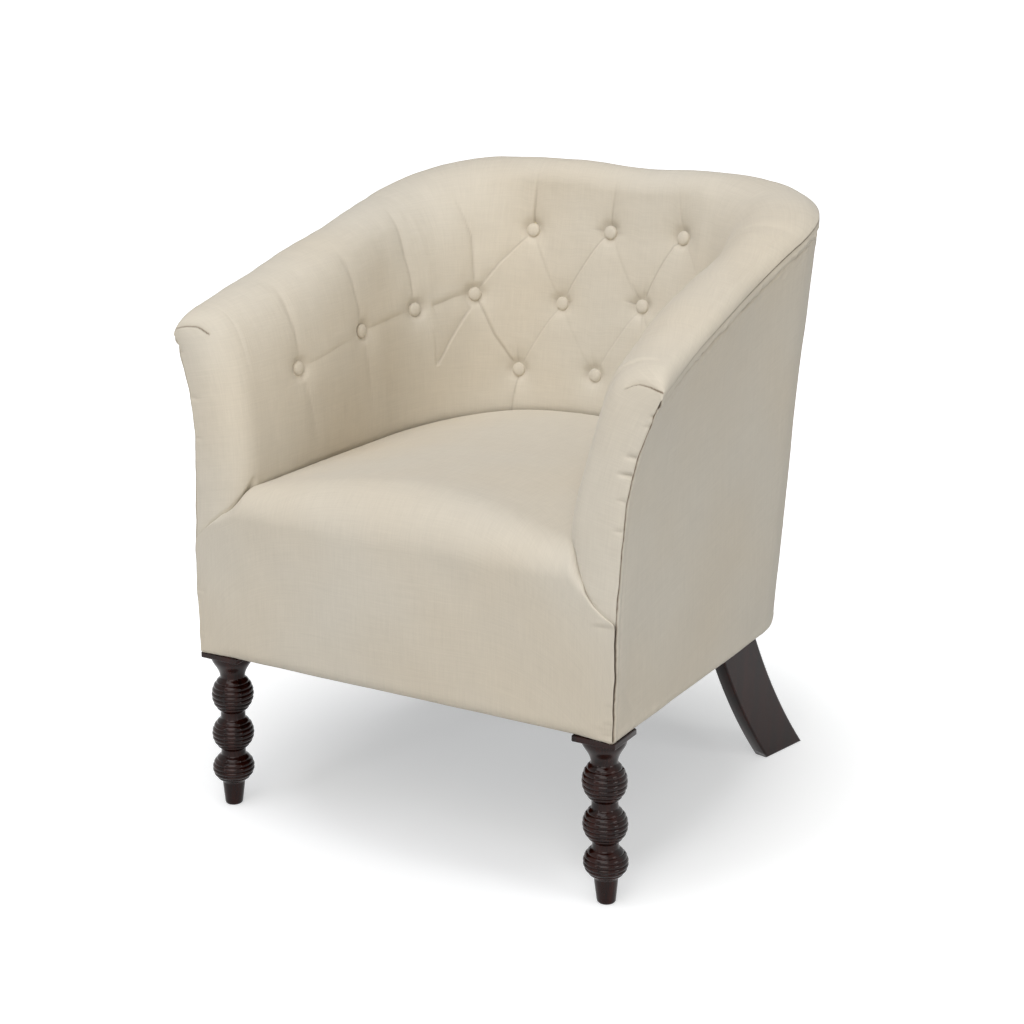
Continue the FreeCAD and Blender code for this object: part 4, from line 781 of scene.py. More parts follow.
# How its edges roll in, as a radius and a share: beside the wall, on the front, at the corners'
# seams, between the arms, and at the lower edge's middle and ends.
WALL_ROLL, FRONT_ROLL, CORNER_ROLL, ARM_ROLL = (9.0, 1.0), (4.0, 0.6), (2.2, 0.4), (13.0, 1.0)
HEM_ROLL, HEM_END_ROLL = (15.0, 0.5), (6.0, 0.4)
# Where one kind of roll gives way to the next, and over what distance: behind the front, at a
# height between the arms, at a height on the corners, and at a distance from the hem's middle.
FRONT_BAND = 60
ARMS_FROM, ARMS_FADE = 392, 22
CORNER_TOP, CORNER_FADE = 372, 12
HEM_END, HEM_FADE = 290, 50
# Points across the seat, and how they crowd at its sides; rows over the top, round the front edge
# and down the front.
SEAT_COLUMNS, SEAT_CROWD = 231, 0.92
TOP_ROWS, TURN_ROWS, DROP_ROWS = 120, 34, 84
# Unevenness: rise, wavelength, noise seed and how far from the edges it is full.
SEAT_RIPPLES = ((1.6, 210, 21, 60), (0.5, 70, 22, 30))
# Gathers at the front's edges: side, distance from the middle, height and depth.
SEAT_GATHERS = (
    (1, 278, 226, 0.9), (1, 270, 232, 0.7), (1, 281, 239, 0.8), (1, 284, 262, 0.5),
    (-1, 286, 246, 0.5), (-1, 280, 300, 0.5), (1, 262, 357, 1.2),
)


def cover_half(z, ear):
    """Half width of the seat cover at a height, between the arms and out over their feet."""
    return np.interp(z, ear[:, 1], np.minimum(ear[:, 0], HALF_WIDTH - SEAM_HALF_GAP))


def seat_grid():
    widest = np.pi / 2 * SEAT_CROWD
    shares = np.sin(np.linspace(-widest, widest, SEAT_COLUMNS)) / math.sin(widest)
    top_x = shares * COVER_HALF
    beyond = np.clip(np.abs(top_x) - (SEAT_HALF - CORNER_RADIUS), 0, CORNER_RADIUS - 1.5)
    round_depth = np.sqrt(np.maximum((CORNER_RADIUS - 1) ** 2 - beyond ** 2, 0))
    rear_depth = SEAT_DEPTH - 1 - CORNER_RADIUS + round_depth
    radius = edge_radius(top_x)
    flat_depth = rear_depth + (radius - rear_depth) * np.linspace(0, 1, TOP_ROWS)[:, None]
    flat_z = seat_top(top_x, flat_depth)
    turn = np.linspace(0, np.pi / 2, TURN_ROWS)[1:, None]
    arc_depth = radius * (1 - np.sin(turn))
    arc_z = SEAT_SIDE + SEAT_CROWN * seat_crown(top_x) - radius + radius * np.cos(turn)
    drop = np.linspace(0, 1, DROP_ROWS)[1:, None]
    front_z = arc_z[-1:] + (LEG_HEIGHT + 2 - arc_z[-1:]) * drop
    z = np.concatenate([flat_z, arc_z, front_z])
    depth = np.concatenate([flat_depth, arc_depth, 0 * front_z])
    half_width = np.where(shares > 0, cover_half(z, EAR_RIGHT), cover_half(z, EAR_LEFT))
    blend = smoothstep((depth - 20) / 60)
    wide = half_width * (1 - blend) + COVER_HALF * blend
    return np.stack([shares * wide, FRONT + depth, z], -1)


def edge_distance(grid):
    """Distance of each grid point from the nearest point of the sides and the rear edge."""
    edge = np.concatenate([grid[:, 0], grid[:, -1], grid[0]])
    flat = grid.reshape(-1, 3)
    nearest = np.empty(len(flat))
    for i in range(0, len(flat), 4000):
        part = flat[i:i + 4000]
        nearest[i:i + 4000] = np.sqrt(((part[:, None] - edge[None]) ** 2).sum(-1).min(1))
    return nearest.reshape(grid.shape[:2])


def shape_seat(cloth, from_edge, at_corner):
    """Edges that roll in, unevenness, the roll of the lower edge, and small gathers."""
    x, y, z = np.moveaxis(cloth.grid, -1, 0)
    on_front = smoothstep((FRONT_BAND - y + FRONT) / FRONT_BAND)
    between_arms = smoothstep((z - ARMS_FROM) / ARMS_FADE)
    roll = rolled(from_edge, *FRONT_ROLL) * (1 - at_corner) + rolled(from_edge, *CORNER_ROLL) * at_corner
    roll = roll * (1 - between_arms) + rolled(from_edge, *ARM_ROLL) * between_arms
    roll *= 1 - 0.8 * left_tip(x)
    cloth.shift -= rolled(from_edge, *WALL_ROLL) * (1 - on_front) + roll * on_front
    for rise, wavelength, seed, calm in SEAT_RIPPLES:
        cloth.shift += rise * ripple(cloth.grid, wavelength, seed) * smoothstep(from_edge / calm)
    cloth.shift += 0.1 * ripple(cloth.grid, 18, 23)
    under = np.maximum(z - LEG_HEIGHT, 0)
    middle = smoothstep((HEM_END - np.abs(x)) / HEM_FADE)
    hem_roll = rolled(under, *HEM_ROLL) * middle + rolled(under, *HEM_END_ROLL) * (1 - middle)
    cloth.shift -= hem_roll * (y < FRONT + 1)
    for side, start, height, depth in SEAT_GATHERS:
        line = [(side * (start + (299 - start) * t), FRONT, height + 3 * t) for t in np.linspace(0, 1, 6)]
        cloth.fold(np.array(line), depth, sharp=1.6, soft=3.5, fade_in=0.6, fade_out=0.1, lift=0.5,
                   painted_shade=0.1 * depth)


def seat_cover_piece():
    cloth = Cloth(seat_grid(), None)
    cloth.normals = normals = grid_normals(cloth.grid, -1.0)
    from_edge = edge_distance(cloth.grid)
    at_corner = smoothstep((CORNER_TOP - cloth.grid[..., 2]) / CORNER_FADE)
    shape_seat(cloth, from_edge, at_corner)
    seat = cloth.moved()
    seat[..., 0] += (np.sign(seat[..., 0]) * SEAM_WANDER * wander(seat[..., 2])
                     * at_corner * np.exp(-from_edge / 4))
    cloth.grid = seat
    # Painted shade along the side edges, strongest at the corners' seams, and on the turned-in strips below.
    edge_mark = (0.3 + 0.7 * at_corner) * (0.8 + 0.2 * ripple(seat, 14, 24))
    for column, depth in ((0, 0.3), (-1, 0.9)):
        cloth.mark((slice(None), column), depth * edge_mark[:, column])
    # The sides turn in: behind the outer seams at the corners, and down beside the arms above.
    for end, side in ((0, -1), (-1, 1)):
        corner = at_corner[:, [end]][..., None]
        back, down = np.array([-side * 0.9, 1.05, 0]), normals[:, [end]] * (corner - 1)
        steps = ((1.0, 1.5), (3.3, 6.0), (5.8, 13.0))
        cloth.extend(1, end, [corner * back * reach + down * deep for reach, deep in steps], 0.4)
    cloth.extend(0, -1, [(0, 2.0, -1.6), (0, 6, -2.0), (0, 12, -1.9)])
    uv = np.stack([cloth.grid[..., 0], lengths_of(cloth.grid, 0)], -1) / 1000
    return cloth.piece("seat_cover_cloth", uv, flip=True)


# Outside covers: one cloth over each side and one over the back, seamed under the roll.
SEAM_PLACE = 2.2
# How the panels' edges roll in, as a radius and a share: at the top, at the sides and below.
TOP_ROLL, SIDE_ROLL, BASE_ROLL = (2.4, 0.5), (2.0, 0.4), (5.0, 0.5)
# Wrinkles: points, depth and width.
RIGHT_WRINKLES = (
    (((301, -262, 262), (301, -230, 236), (301, -190, 222)), 1.2, 7),
    (((301, -296, 300), (301, -262, 252), (301, -245, 226)), 0.9, 6),
    (((309, -292, 505), (312, -270, 480), (305, -240, 440)), 0.8, 7),
    (((328, -280, 590), (322, -262, 565), (314, -240, 530)), 1.6, 8),
)
LEFT_WRINKLES = [([(-x, y, z) for x, y, z in spots], depth, width)
                 for spots, depth, width in RIGHT_WRINKLES[1:]]
# Columns from an arm's front to the back's middle, and stretches of rows down the section, each
# with its start, end and count.
PANEL_COLUMNS = 330
PANEL_ROWS = ((0.004, 0.16, 38), (0.16, 1, 60), (1, 2, 76))
# Ridges and grooves beside the seams: height, distance from the seam and width; at an arm's front
# also the wavelength and seed of their unevenness.
TOP_RIDGES = ((1.5, 7, 3.6), (-1.6, 14, 2.0))
FRONT_RIDGES = ((0.7, 4.5, 2.0, 15, 7), (-0.9, 9, 1.8, 21, 8))
PANEL_LAYERS = ((1.3, 230, 43), (0.35, 80, 44))
# Panels: name, start and end place, whether the start meets an arm's front, wrinkles, noise seed.
PANELS = (
    ("right_outside_cloth", 0.004, SEAM_PLACE, True, RIGHT_WRINKLES, 40),
    ("left_outside_cloth", 5.996, 6 - SEAM_PLACE, True, LEFT_WRINKLES, 60),
    ("back_outside_cloth", SEAM_PLACE, 6 - SEAM_PLACE, False, (), 80),
)


def panel_grid(u0, u1):
    """Points of a panel between two places, and its columns' directions out of the wall."""
    count = int(abs(u1 - u0) / 3 * PANEL_COLUMNS) + 40
    even = np.linspace(0, 1, count)
    places = u0 + (u1 - u0) * (0.65 * even + 0.35 * (0.5 - 0.5 * np.cos(np.pi * even)))
    rows = np.concatenate([np.linspace(*stretch)[:-1] for stretch in PANEL_ROWS] + [[2.0]])
    wall = Wall(places)
    outward = np.stack([wall.out[:, 0] * wall.side, wall.out[:, 1], np.zeros(count)], -1)
    return np.array([wall.outer_at(s) for s in rows]), outward


def shape_front_edge(cloth, distance, down, seen, seed):
    """A stitched ridge beside the seam at an arm's front, by the distance from the seam, and painted shade
    on the seam's edge.
    """
    grid = cloth.grid
    for height, place, width, wavelength, step in FRONT_RIDGES:
        varied = 1 + 0.6 * ripple(grid, wavelength, seed + step)
        cloth.shift += height * seen * bell(distance, place, width) * varied
    cloth.mark(..., seen * (0.75 + 0.25 * ripple(grid, 12, seed + 9)) * (distance < 0.5))
    cloth.shift += SEAM_WANDER * wander(grid[..., 2]) * np.exp(-distance / 4) * smoothstep(down / 40)


def shape_top_edge(cloth, down, seed):
    """A puckered ridge along the seam under the roll, by the distance down from it, with painted shade in
    the groove below the ridge and on the seam's edge.
    """
    grid = cloth.grid
    broken = np.clip(0.6 + 0.9 * ripple(grid, 26, seed + 10), 0, 1)
    cloth.shift += sum(height * bell(down, place, width) for height, place, width in TOP_RIDGES)
    cloth.mark(..., 0.42 * broken * bell(down, 14, 1.3))
    cloth.mark(0, 0.9)
    pucker = ripple(grid * (1, 1, 0.55), 10, seed) * ripple(grid, 41, seed + 1)
    cloth.shift += 2.0 * pucker * bell(down, 12, 7) + 0.7 * ripple(grid, 17, seed + 2) * bell(down, 20, 16)


def outside_piece(name, u0, u1, at_front, wrinkles, seed):
    """A panel between two places; at_front tells that its start meets an arm's front."""
    grid, outward = panel_grid(u0, u1)
    cloth = Cloth(grid, grid_normals(grid))
    cloth.normals *= np.sign((cloth.normals * outward).sum(-1))[..., None]
    along, down = lengths_of(grid, 1), lengths_of(grid, 0)
    seen = 1.0 if u0 < 3 else 0.3
    cloth.shift -= rolled(down, *TOP_ROLL)
    cloth.shift -= rolled(along, *SIDE_ROLL) + rolled(along[:, -1:] - along, *SIDE_ROLL)
    if at_front:
        shape_front_edge(cloth, along, down, seen, seed)
    shape_top_edge(cloth, down, seed)
    calm = smoothstep(down / 60) * (1 - smoothstep((45 - along) / 35) * at_front)
    cloth.shift += calm * uneven(grid, PANEL_LAYERS)
    cloth.shift += 0.1 * ripple(grid, 17, seed + 5)
    low = grid[..., 2] - LEG_HEIGHT
    cloth.shift -= rolled(np.maximum(low, 0), *BASE_ROLL)
    cloth.shift += 0.5 * bell(low, 8, 3) * (1 + ripple(grid, 28, seed + 6))
    for spots, depth, width in wrinkles:
        cloth.hollow(np.array(spots, float), depth, width, 0.25, 0.25)
    cloth.grid = cloth.moved()
    # The top, bottom and front edges turn in; the top and front strips carry painted shade.
    tuck, hem = ((1.5, 0.1), (4, 0.8), (7, 1.5)), ((2, 0.0), (6, 0.5), (14, 0.8))
    cloth.extend(0, 0, [(0, 0, rise) - outward * reach for reach, rise in tuck], 1.0)
    cloth.extend(0, -1, [(0, 0, rise) - outward * reach for reach, rise in hem])
    if at_front:
        side = np.sign(cloth.grid[0, 0, 0])
        cloth.extend(1, 0, [(-1.2 * side, 1.0, 0), (-3.2 * side, 3.3, 0), (-5.7 * side, 5.8, 0)], 0.9 * seen)
    return cloth.piece(name, unrolled(cloth.grid, 90), flip=u1 > u0)


def lathe(outline, segments):
    """Points and faces of a form turned about the upright axis from (radius, height) pairs."""
    turn = np.arange(segments) / segments * 2 * np.pi
    radius, height = np.asarray(outline, float).T[..., None]
    points = np.stack([radius * np.cos(turn), radius * np.sin(turn), height + 0 * turn], -1)
    return points.reshape(-1, 3), grid_faces(len(outline), segments, closed=True)


# Section of a covered button: its dome's radius, height and base, and its rim below.
DOME_RADIUS, DOME_HEIGHT, DOME_BASE = 9.0, 3.8, 1.3
RIM = [(9.5, 1.0), (9.6, 0.4), (9.3, -0.6), (8.5, -1.6), (0.02, -1.8)]


def buttons_piece():
    """Covered buttons: domed discs, each set square to the padded face in its hollow."""
    dome = [(DOME_RADIUS * math.sin(a), DOME_BASE + DOME_HEIGHT * math.cos(a) ** 0.85)
            for a in np.linspace(0.12, 1.5, 12)]
    section = [(0.02, DOME_BASE + DOME_HEIGHT)] + dome + RIM
    disc, disc_faces = lathe(section[::-1], 40)
    points, faces, uv = [], [], []
    for number, (spot, normal) in enumerate(BUTTON_FRAMES):
        side = np.cross([0, 0, 1], normal)
        side /= np.linalg.norm(side)
        up = np.cross(normal, side)
        covered = disc + 0.12 * ripple(disc, 6, 200 + number)[:, None] * np.array([0, 0, 1])
        points.append(spot - normal * BUTTON_SINK + covered @ np.array([side, up, normal]))
        faces.append(disc_faces + number * len(disc))
        uv.append(disc[:, :2] / 1000 + (number * 0.031, 0))
    return mesh_piece("covered_buttons", np.concatenate(points), np.concatenate(faces), np.concatenate(uv))


# Turned front legs: a slab, a cup, three ringed balls with necks between, and a tapered foot.
LEG_X, LEG_Y = 271.6, FRONT + 31
SLAB_HALF, SLAB_BOTTOM = 28.5, 209
SPLAY = 6.3
NECK, BALL = 16.4, 27.4
RING_DENT = 1.5
CUP = [(27.6, 210), (27.4, 207.2), (26.6, 203.8), (25.0, 200.6), (22.9, 197.2), (20.8, 193.8),
       (18.9, 190.4), (17.5, 187.2), (16.7, 184.4), (NECK - 0.1, 182.2), (NECK - 0.3, 181)]
UPPER_NECK = [(NECK - 0.3, 130.6), (NECK - 0.4, 127.4), (NECK - 0.3, 124.0)]
LOWER_NECK = [(NECK - 0.3, 78.2), (NECK - 0.4, 75.0), (NECK - 0.3, 72.2)]
TAPER = [(15.4, 33.2), (14.9, 32.0), (14.7, 30.4), (13.6, 20), (11.8, 4), (11.4, 1.6), (10.4, 0.4),
         (9, 0.0), (0.02, 0.0)]


def ball(top, bottom, rings):
    """Outline of a flattened ball cut into rounded rings."""
    half, middle = (top - bottom) / 2, (top + bottom) / 2
    squeeze = 1 - (NECK / BALL) ** 2
    points = []
    for i in range(rings):
        for step in np.linspace(0, 1, 9):
            share = 1 - 2 * (i + step) / rings
            radius = BALL * math.sqrt(max(1 - squeeze * share ** 2, 0))
            at_end = (i == 0 and step < 0.5) or (i == rings - 1 and step > 0.5)
            dent = 0 if at_end else RING_DENT * abs(2 * step - 1) ** 2.3
            points.append((radius - dent, middle + share * half))
    return points


def rounded_box(low, high, edge, steps=4):
    """Points and faces of a box with rounded edges, as a ball pulled apart."""
    low, high = np.array(low, float), np.array(high, float)
    rows, columns = 4 * steps + 1, 8 * steps
    tilt = np.linspace(-np.pi / 2, np.pi / 2, rows)
    turn = (np.arange(columns) + 0.5) / columns * 2 * np.pi
    way = np.stack([np.cos(tilt)[:, None] * np.cos(turn), np.cos(tilt)[:, None] * np.sin(turn),
                    np.sin(tilt)[:, None] + 0 * turn], -1)
    points = np.where(way > 1e-9, high - edge, low + edge) + way * edge
    points[0, :, 2], points[-1, :, 2] = low[2], high[2]
    return points.reshape(-1, 3), grid_faces(rows, columns, closed=True)


def front_leg_piece(name, side):
    outline = (CUP + ball(179.0, 132.4, 7) + UPPER_NECK + ball(122.2, 79.6, 7) + LOWER_NECK
               + ball(70.6, 34.2, 6) + TAPER)
    leg, leg_faces = lathe(outline[::-1], 96)
    leg[:, 0] += LEG_X + (1 - np.minimum(leg[:, 2], SLAB_BOTTOM) / SLAB_BOTTOM) * SPLAY
    leg[:, 1] += LEG_Y
    slab, slab_faces = rounded_box((LEG_X - SLAB_HALF, LEG_Y - SLAB_HALF, SLAB_BOTTOM),
                                   (LEG_X + SLAB_HALF, LEG_Y + SLAB_HALF, LEG_HEIGHT), 1.6)
    faces = np.concatenate([leg_faces, slab_faces + len(leg)])
    points = np.concatenate([leg, slab]) * (side, 1, 1)
    return mesh_piece(name + "_front_leg_turned", points, faces if side == 1 else faces[:, ::-1])


# Sabre rear legs: bowed boards with softened edges, turned out at the foot.
LEG_TURN = math.radians(13)
ALONG = np.array([math.sin(LEG_TURN), math.cos(LEG_TURN), 0])
OUT = np.array([math.cos(LEG_TURN), -math.sin(LEG_TURN), 0])
UP = np.array([0, 0, 1])
LEG_FOOT = np.array([282.4, FRONT + 560.8, 0])
LEG_BOW = 9
BOARD = 22
# Soft edges of the boards: depths from a face, and how far the outline is drawn in there.
BOARD_EDGE = ((0, 3.2), (0.35, 1.6), (1.1, 0.55), (2.6, 0))
BOARD_LAYERS = BOARD_EDGE + tuple((BOARD - depth, inset) for depth, inset in BOARD_EDGE[::-1])


def bowed(start, end, bow, count=22):
    start, end = np.array(start, float), np.array(end, float)
    way = (end - start) / np.linalg.norm(end - start)
    across = np.array([-way[1], way[0]])
    t = np.linspace(0, 1, count)[:, None]
    return start + (end - start) * t + across * bow * 4 * t * (1 - t)


def softened(outline, edge):
    """The outline drawn in by an edge along its corner bisectors."""
    before, after = np.roll(outline, 1, 0), np.roll(outline, -1, 0)
    a = (outline - before) / np.linalg.norm(outline - before, axis=1)[:, None]
    b = (after - outline) / np.linalg.norm(after - outline, axis=1)[:, None]
    inward = np.stack([-(a + b)[:, 1], (a + b)[:, 0]], -1)
    inward /= np.linalg.norm(inward, axis=1)[:, None]
    cosine = np.maximum((inward * np.stack([-a[:, 1], a[:, 0]], -1)).sum(1), 0.5)
    return outline + inward * edge / cosine[:, None]


def rear_leg_piece(name, side):
    rear_edge = bowed((41, 0), (-90, LEG_HEIGHT), LEG_BOW)
    front_edge = bowed((-41, 0), (-168, LEG_HEIGHT), LEG_BOW)
    side_view = np.concatenate([rear_edge, [(-102, 217.2), (-102, 321), (-168, 321)], front_edge[::-1]])
    rings = []
    for depth, inset in BOARD_LAYERS:
        outline = softened(side_view, inset)
        outline[:, 1] = np.maximum(outline[:, 1], 0)
        rings.append(LEG_FOOT + outline[:, :1] * ALONG + outline[:, 1:] * UP - OUT * depth)
    count = len(side_view)
    points = np.concatenate(rings) * (side, 1, 1)
    faces = grid_faces(len(rings), count, closed=True, flip=side == 1).tolist()
    caps = (range(count), range((len(rings) - 1) * count, len(rings) * count))
    for cap, turned_over in zip(caps, (side == -1, side == 1)):
        faces.append(tuple(cap[::-1] if turned_over else cap))
    mesh = bpy.data.meshes.new(name + "_rear_leg_board")
    mesh.from_pydata([tuple(point / 1000) for point in points], [], faces)
    for face in mesh.polygons:
        face.use_smooth = len(face.vertices) == 4
    piece = bpy.data.objects.new(name + "_rear_leg_board", mesh)
    scene.collection.objects.link(piece)
    return piece


# Liner under the seat: its distance in from the edge, its sag, and its waves and their length.
LINER_MARGIN, LINER_SAG = 8.0, 1.8
LINER_WAVES, LINER_WAVELENGTH = 0.8, 120


def liner_piece():
    """The liner, stretched between the rails."""
    rows = np.linspace(FRONT + LINER_MARGIN, BACK - LINER_MARGIN, 70)[:, None]
    across = np.linspace(-1, 1, 60)
    beyond = np.maximum(rows - FRONT - ARM_LENGTH, 0)
    round_half = CORNER_X - LINER_MARGIN + np.sqrt(np.maximum(CORNER_RADIUS ** 2 - beyond ** 2, 1))
    half = np.minimum(round_half, HALF_WIDTH - LINER_MARGIN)
    liner = np.stack([across * half, rows + 0 * across, LEG_HEIGHT + 0.2 + 0 * across * rows], -1)
    middle = (1 - across ** 4) * np.clip(np.minimum(rows - rows[0], rows[-1] - rows) / 60, 0, 1)
    liner[..., 2] -= (LINER_WAVES * ripple(liner, LINER_WAVELENGTH, 90) + LINER_SAG) * middle
    return Cloth(liner, None).piece("dust_liner_cloth", liner[..., :2] / 1000, flip=True)


# Materials, floor and surroundings as node trees.


class Nodes:
    """A node tree built step by step."""

    def __init__(self, owner):
        owner.use_nodes = True
        self.tree = owner.node_tree
        self.tree.nodes.clear()

    def put(self, value, socket):
        """A link where the value is another node's socket, and else a constant."""
        if isinstance(value, bpy.types.NodeSocket):
            self.tree.links.new(value, socket)
        else:
            socket.default_value = value

    def add(self, kind, inputs=(), **settings):
        node = self.tree.nodes.new("ShaderNode" + kind)
        for key, value in settings.items():
            setattr(node, key, value)
        for key, value in dict(inputs).items():
            self.put(value, node.inputs[key])
        return node

    def maths(self, operation, a, b):
        return self.add("Math", {0: a, 1: b}, operation=operation).outputs[0]

    def seen(self):
        """One for camera, glossy and transmission rays, and zero for the others."""
        path = self.add("LightPath").outputs
        seen = self.maths("MAXIMUM", path["Is Camera Ray"], path["Is Glossy Ray"])
        return self.maths("MAXIMUM", seen, path["Is Transmission Ray"])


class Shader(Nodes):
    """A material round one surface shader."""

    def __init__(self, name, **sockets):
        self.material = bpy.data.materials.new(name)
        super().__init__(self.material)
        self.surface = self.add("BsdfPrincipled")
        self.out = self.add("OutputMaterial", {0: self.surface.outputs[0]})
        for socket, value in sockets.items():
            self.surface.inputs[socket.replace("_", " ")].default_value = value

    def link(self, value, socket):
        self.tree.links.new(value, self.surface.inputs[socket])

    def place(self, kind, scale):
        """Mapped coordinates: UV in metres, or the object's own."""
        source = self.add("TexCoord").outputs[kind]
        return self.add("Mapping", {"Vector": source, "Scale": scale}).outputs[0]

    def noise(self, kind, stretch, scale=1.0, detail=2.0, roughness=0.5):
        return self.add("TexNoise", {"Vector": self.place(kind, stretch), "Scale": scale, "Detail": detail,
                                     "Roughness": roughness}).outputs[0]

    def ramp(self, factor, low, high, start, end):
        """A factor taken from one range to another."""
        return self.add("MapRange", {"Value": factor, "From Min": low, "From Max": high, "To Min": start,
                                     "To Max": end}).outputs[0]

    def mix(self, factor, a, b, blend="MIX"):
        node = self.add("Mix", data_type="RGBA", blend_type=blend)
        for index, value in ((0, factor), (6, a), (7, b)):
            self.put(value, node.inputs[index])
        return node.outputs[2]

    def tones(self, factor, low, high, dark, light):
        """The surface's colour, from dark to light as a factor rises from low to high."""
        self.link(self.mix(self.ramp(factor, low, high, 0.0, 1.0), dark, light), "Base Color")

    def bump(self, height, distance, strength):
        node = self.add("Bump", {"Height": height, "Distance": distance, "Strength": strength})
        self.link(node.outputs[0], "Normal")


def colour(red, green, blue):
    """Linear colour from the usual 0 to 255 numbers."""
    def linear(v):
        v /= 255
        return v / 12.92 if v <= 0.04045 else ((v + 0.055) / 1.055) ** 2.4
    return linear(red), linear(green), linear(blue), 1.0


# Warm dark brown of the painted shade in folds and seams.
SHADE_PAINT_COLOUR = colour(98, 80, 60)
CLOTH = colour(211, 205, 192)
CLOTH_WARM = colour(212, 203, 186)


def linen(name):
    """Plain-woven linen: uneven threads both ways, slubs, a slow drift from cool to warm, and painted shade
    in folds and seams.
    """
    shader = Shader(name, Roughness=0.92, Specular_IOR_Level=0.18, Sheen_Weight=0.22, Sheen_Roughness=0.45)
    warp, weft = (shader.noise("UV", stretch, 1.0, 2.5, 0.6) for stretch in ((620, 26, 1), (22, 560, 1)))
    slub, cross_slub = (shader.noise("UV", stretch, 1.0, 1.0) for stretch in ((150, 11, 1), (9, 170, 1)))
    threads = shader.maths("ADD", warp, weft)
    slubs = shader.maths("ADD", slub, cross_slub)
    drift = shader.noise("Object", (1, 1, 1), 3.4)
    ground = shader.mix(shader.ramp(drift, 0.36, 0.64, 0.0, 1.0), CLOTH, CLOTH_WARM)
    shade = shader.maths("ADD", shader.ramp(threads, 0.62, 1.38, 0.945, 1.035),
                         shader.ramp(slubs, 0.7, 1.3, -0.009, 0.009))
    grey = shader.add("CombineColor", {0: shade, 1: shade, 2: shade}).outputs[0]
    cloth = shader.mix(1.0, ground, grey, "MULTIPLY")
    # Painted shade: the crease_shade attribute mixes the warm dark brown into the colour.
    mark = shader.add("Attribute", attribute_name="crease_shade").outputs["Fac"]
    shader.link(shader.mix(mark, cloth, SHADE_PAINT_COLOUR), "Base Color")
    shader.link(shader.ramp(threads, 0.6, 1.4, 0.96, 0.86), "Roughness")
    flat = shader.place("UV", (1, 1, 1))
    waves = []
    for scale, way in ((300.0, "X"), (290.0, "Y")):
        inputs = {"Vector": flat, "Scale": scale, "Distortion": 1.2, "Detail Scale": 0.4}
        waves.append(shader.add("TexWave", inputs, bands_direction=way).outputs["Fac"])
    weave = shader.maths("MULTIPLY", *waves)
    height = shader.maths("ADD", shader.maths("MULTIPLY", weave, 0.35), threads)
    shader.bump(shader.maths("ADD", height, slubs), 0.00018, 0.6)
    return shader.material


def timber(name, dark, light, roughness, grain=(14, 14, 1.2), relief=0.00006):
    shader = Shader(name, Roughness=roughness, Specular_IOR_Level=0.2)
    broad = shader.noise("Object", grain, 4.0, 5.0, 0.62)
    fibre = shader.noise("Object", tuple(g * 12 for g in grain), 4.0, 3.0, 0.6)
    mixed = shader.maths("ADD", shader.maths("MULTIPLY", broad, 0.72),
                         shader.maths("MULTIPLY", fibre, 0.28))
    shader.tones(mixed, 0.36, 0.66, dark, light)
    shader.link(shader.ramp(mixed, 0.3, 0.7, roughness * 0.85, roughness * 1.25), "Roughness")
    shader.bump(mixed, relief, 0.6)
    return shader.material


def fibrous(name, dark, light, scale, roughness, relief):
    """Foam, felt, jute or moulded plastic: a grain of that scale over two tones."""
    shader = Shader(name, Roughness=roughness, Specular_IOR_Level=0.2)
    grain = shader.noise("Object", scale, 1.0, 4.0, 0.65)
    cells = shader.add("TexVoronoi", {"Vector": shader.place("Object", scale), "Scale": 1.6})
    mixed = shader.maths("ADD", shader.maths("MULTIPLY", grain, 0.7),
                         shader.maths("MULTIPLY", cells.outputs["Distance"], 0.5))
    shader.tones(mixed, 0.3, 0.8, dark, light)
    shader.bump(mixed, relief, 0.7)
    return shader.material


def metal(name, dark, light, roughness):
    shader = Shader(name, Metallic=1.0, Roughness=roughness)
    drawn = shader.noise("Object", (90, 700, 700), 1.0, 3.0)
    shader.tones(drawn, 0.3, 0.7, dark, light)
    shader.link(shader.ramp(drawn, 0.3, 0.7, roughness * 0.8, roughness * 1.3), "Roughness")
    shader.bump(drawn, 0.00003, 0.5)
    return shader.material


# Finish of each material slot: maker, name, dark tone, light tone and the maker's other values.
FINISHES = {
    "foam": (fibrous, "foam_cells", (214, 201, 158), (236, 226, 190), (900, 900, 900), 0.95, 0.0003),
    "jute": (fibrous, "jute_weave", (132, 101, 62), (184, 152, 104), (1200, 160, 1200), 0.9, 0.0003),
    "black_liner": (fibrous, "black_liner_felt", (22, 22, 23), (40, 40, 41), (700, 700, 700), 0.93, 0.00015),
    "anchor_plastic": (fibrous, "anchor_plastic", (205, 205, 200), (224, 224, 220), (240, 240, 240), 0.42,
                       0.00004),
    "dark_wood": (timber, "dark_stained_wood", (9, 3, 2), (50, 17, 9), 0.13),
    "frame_timber": (timber, "sawn_frame_timber", (176, 136, 88), (212, 178, 128), 0.7, (9, 1.1, 9), 0.0003),
    "steel": (metal, "spring_steel", (120, 122, 126), (172, 174, 178), 0.35),
}
finishes = {slot: maker(name, colour(*dark), colour(*light), *values)
            for slot, (maker, name, dark, light, *values) in FINISHES.items()}
finishes["linen"] = linen("linen_inside")


def set_finish(piece, slot_name):
    piece.data.materials.clear()
    piece.data.materials.append(finishes[slot_name])


slot_of = {part["node"]: part["material_slot"] for part in frame["record"]["subparts"]}
for name, node in frame["nodes"].items():
    set_finish(node, slot_of[name])

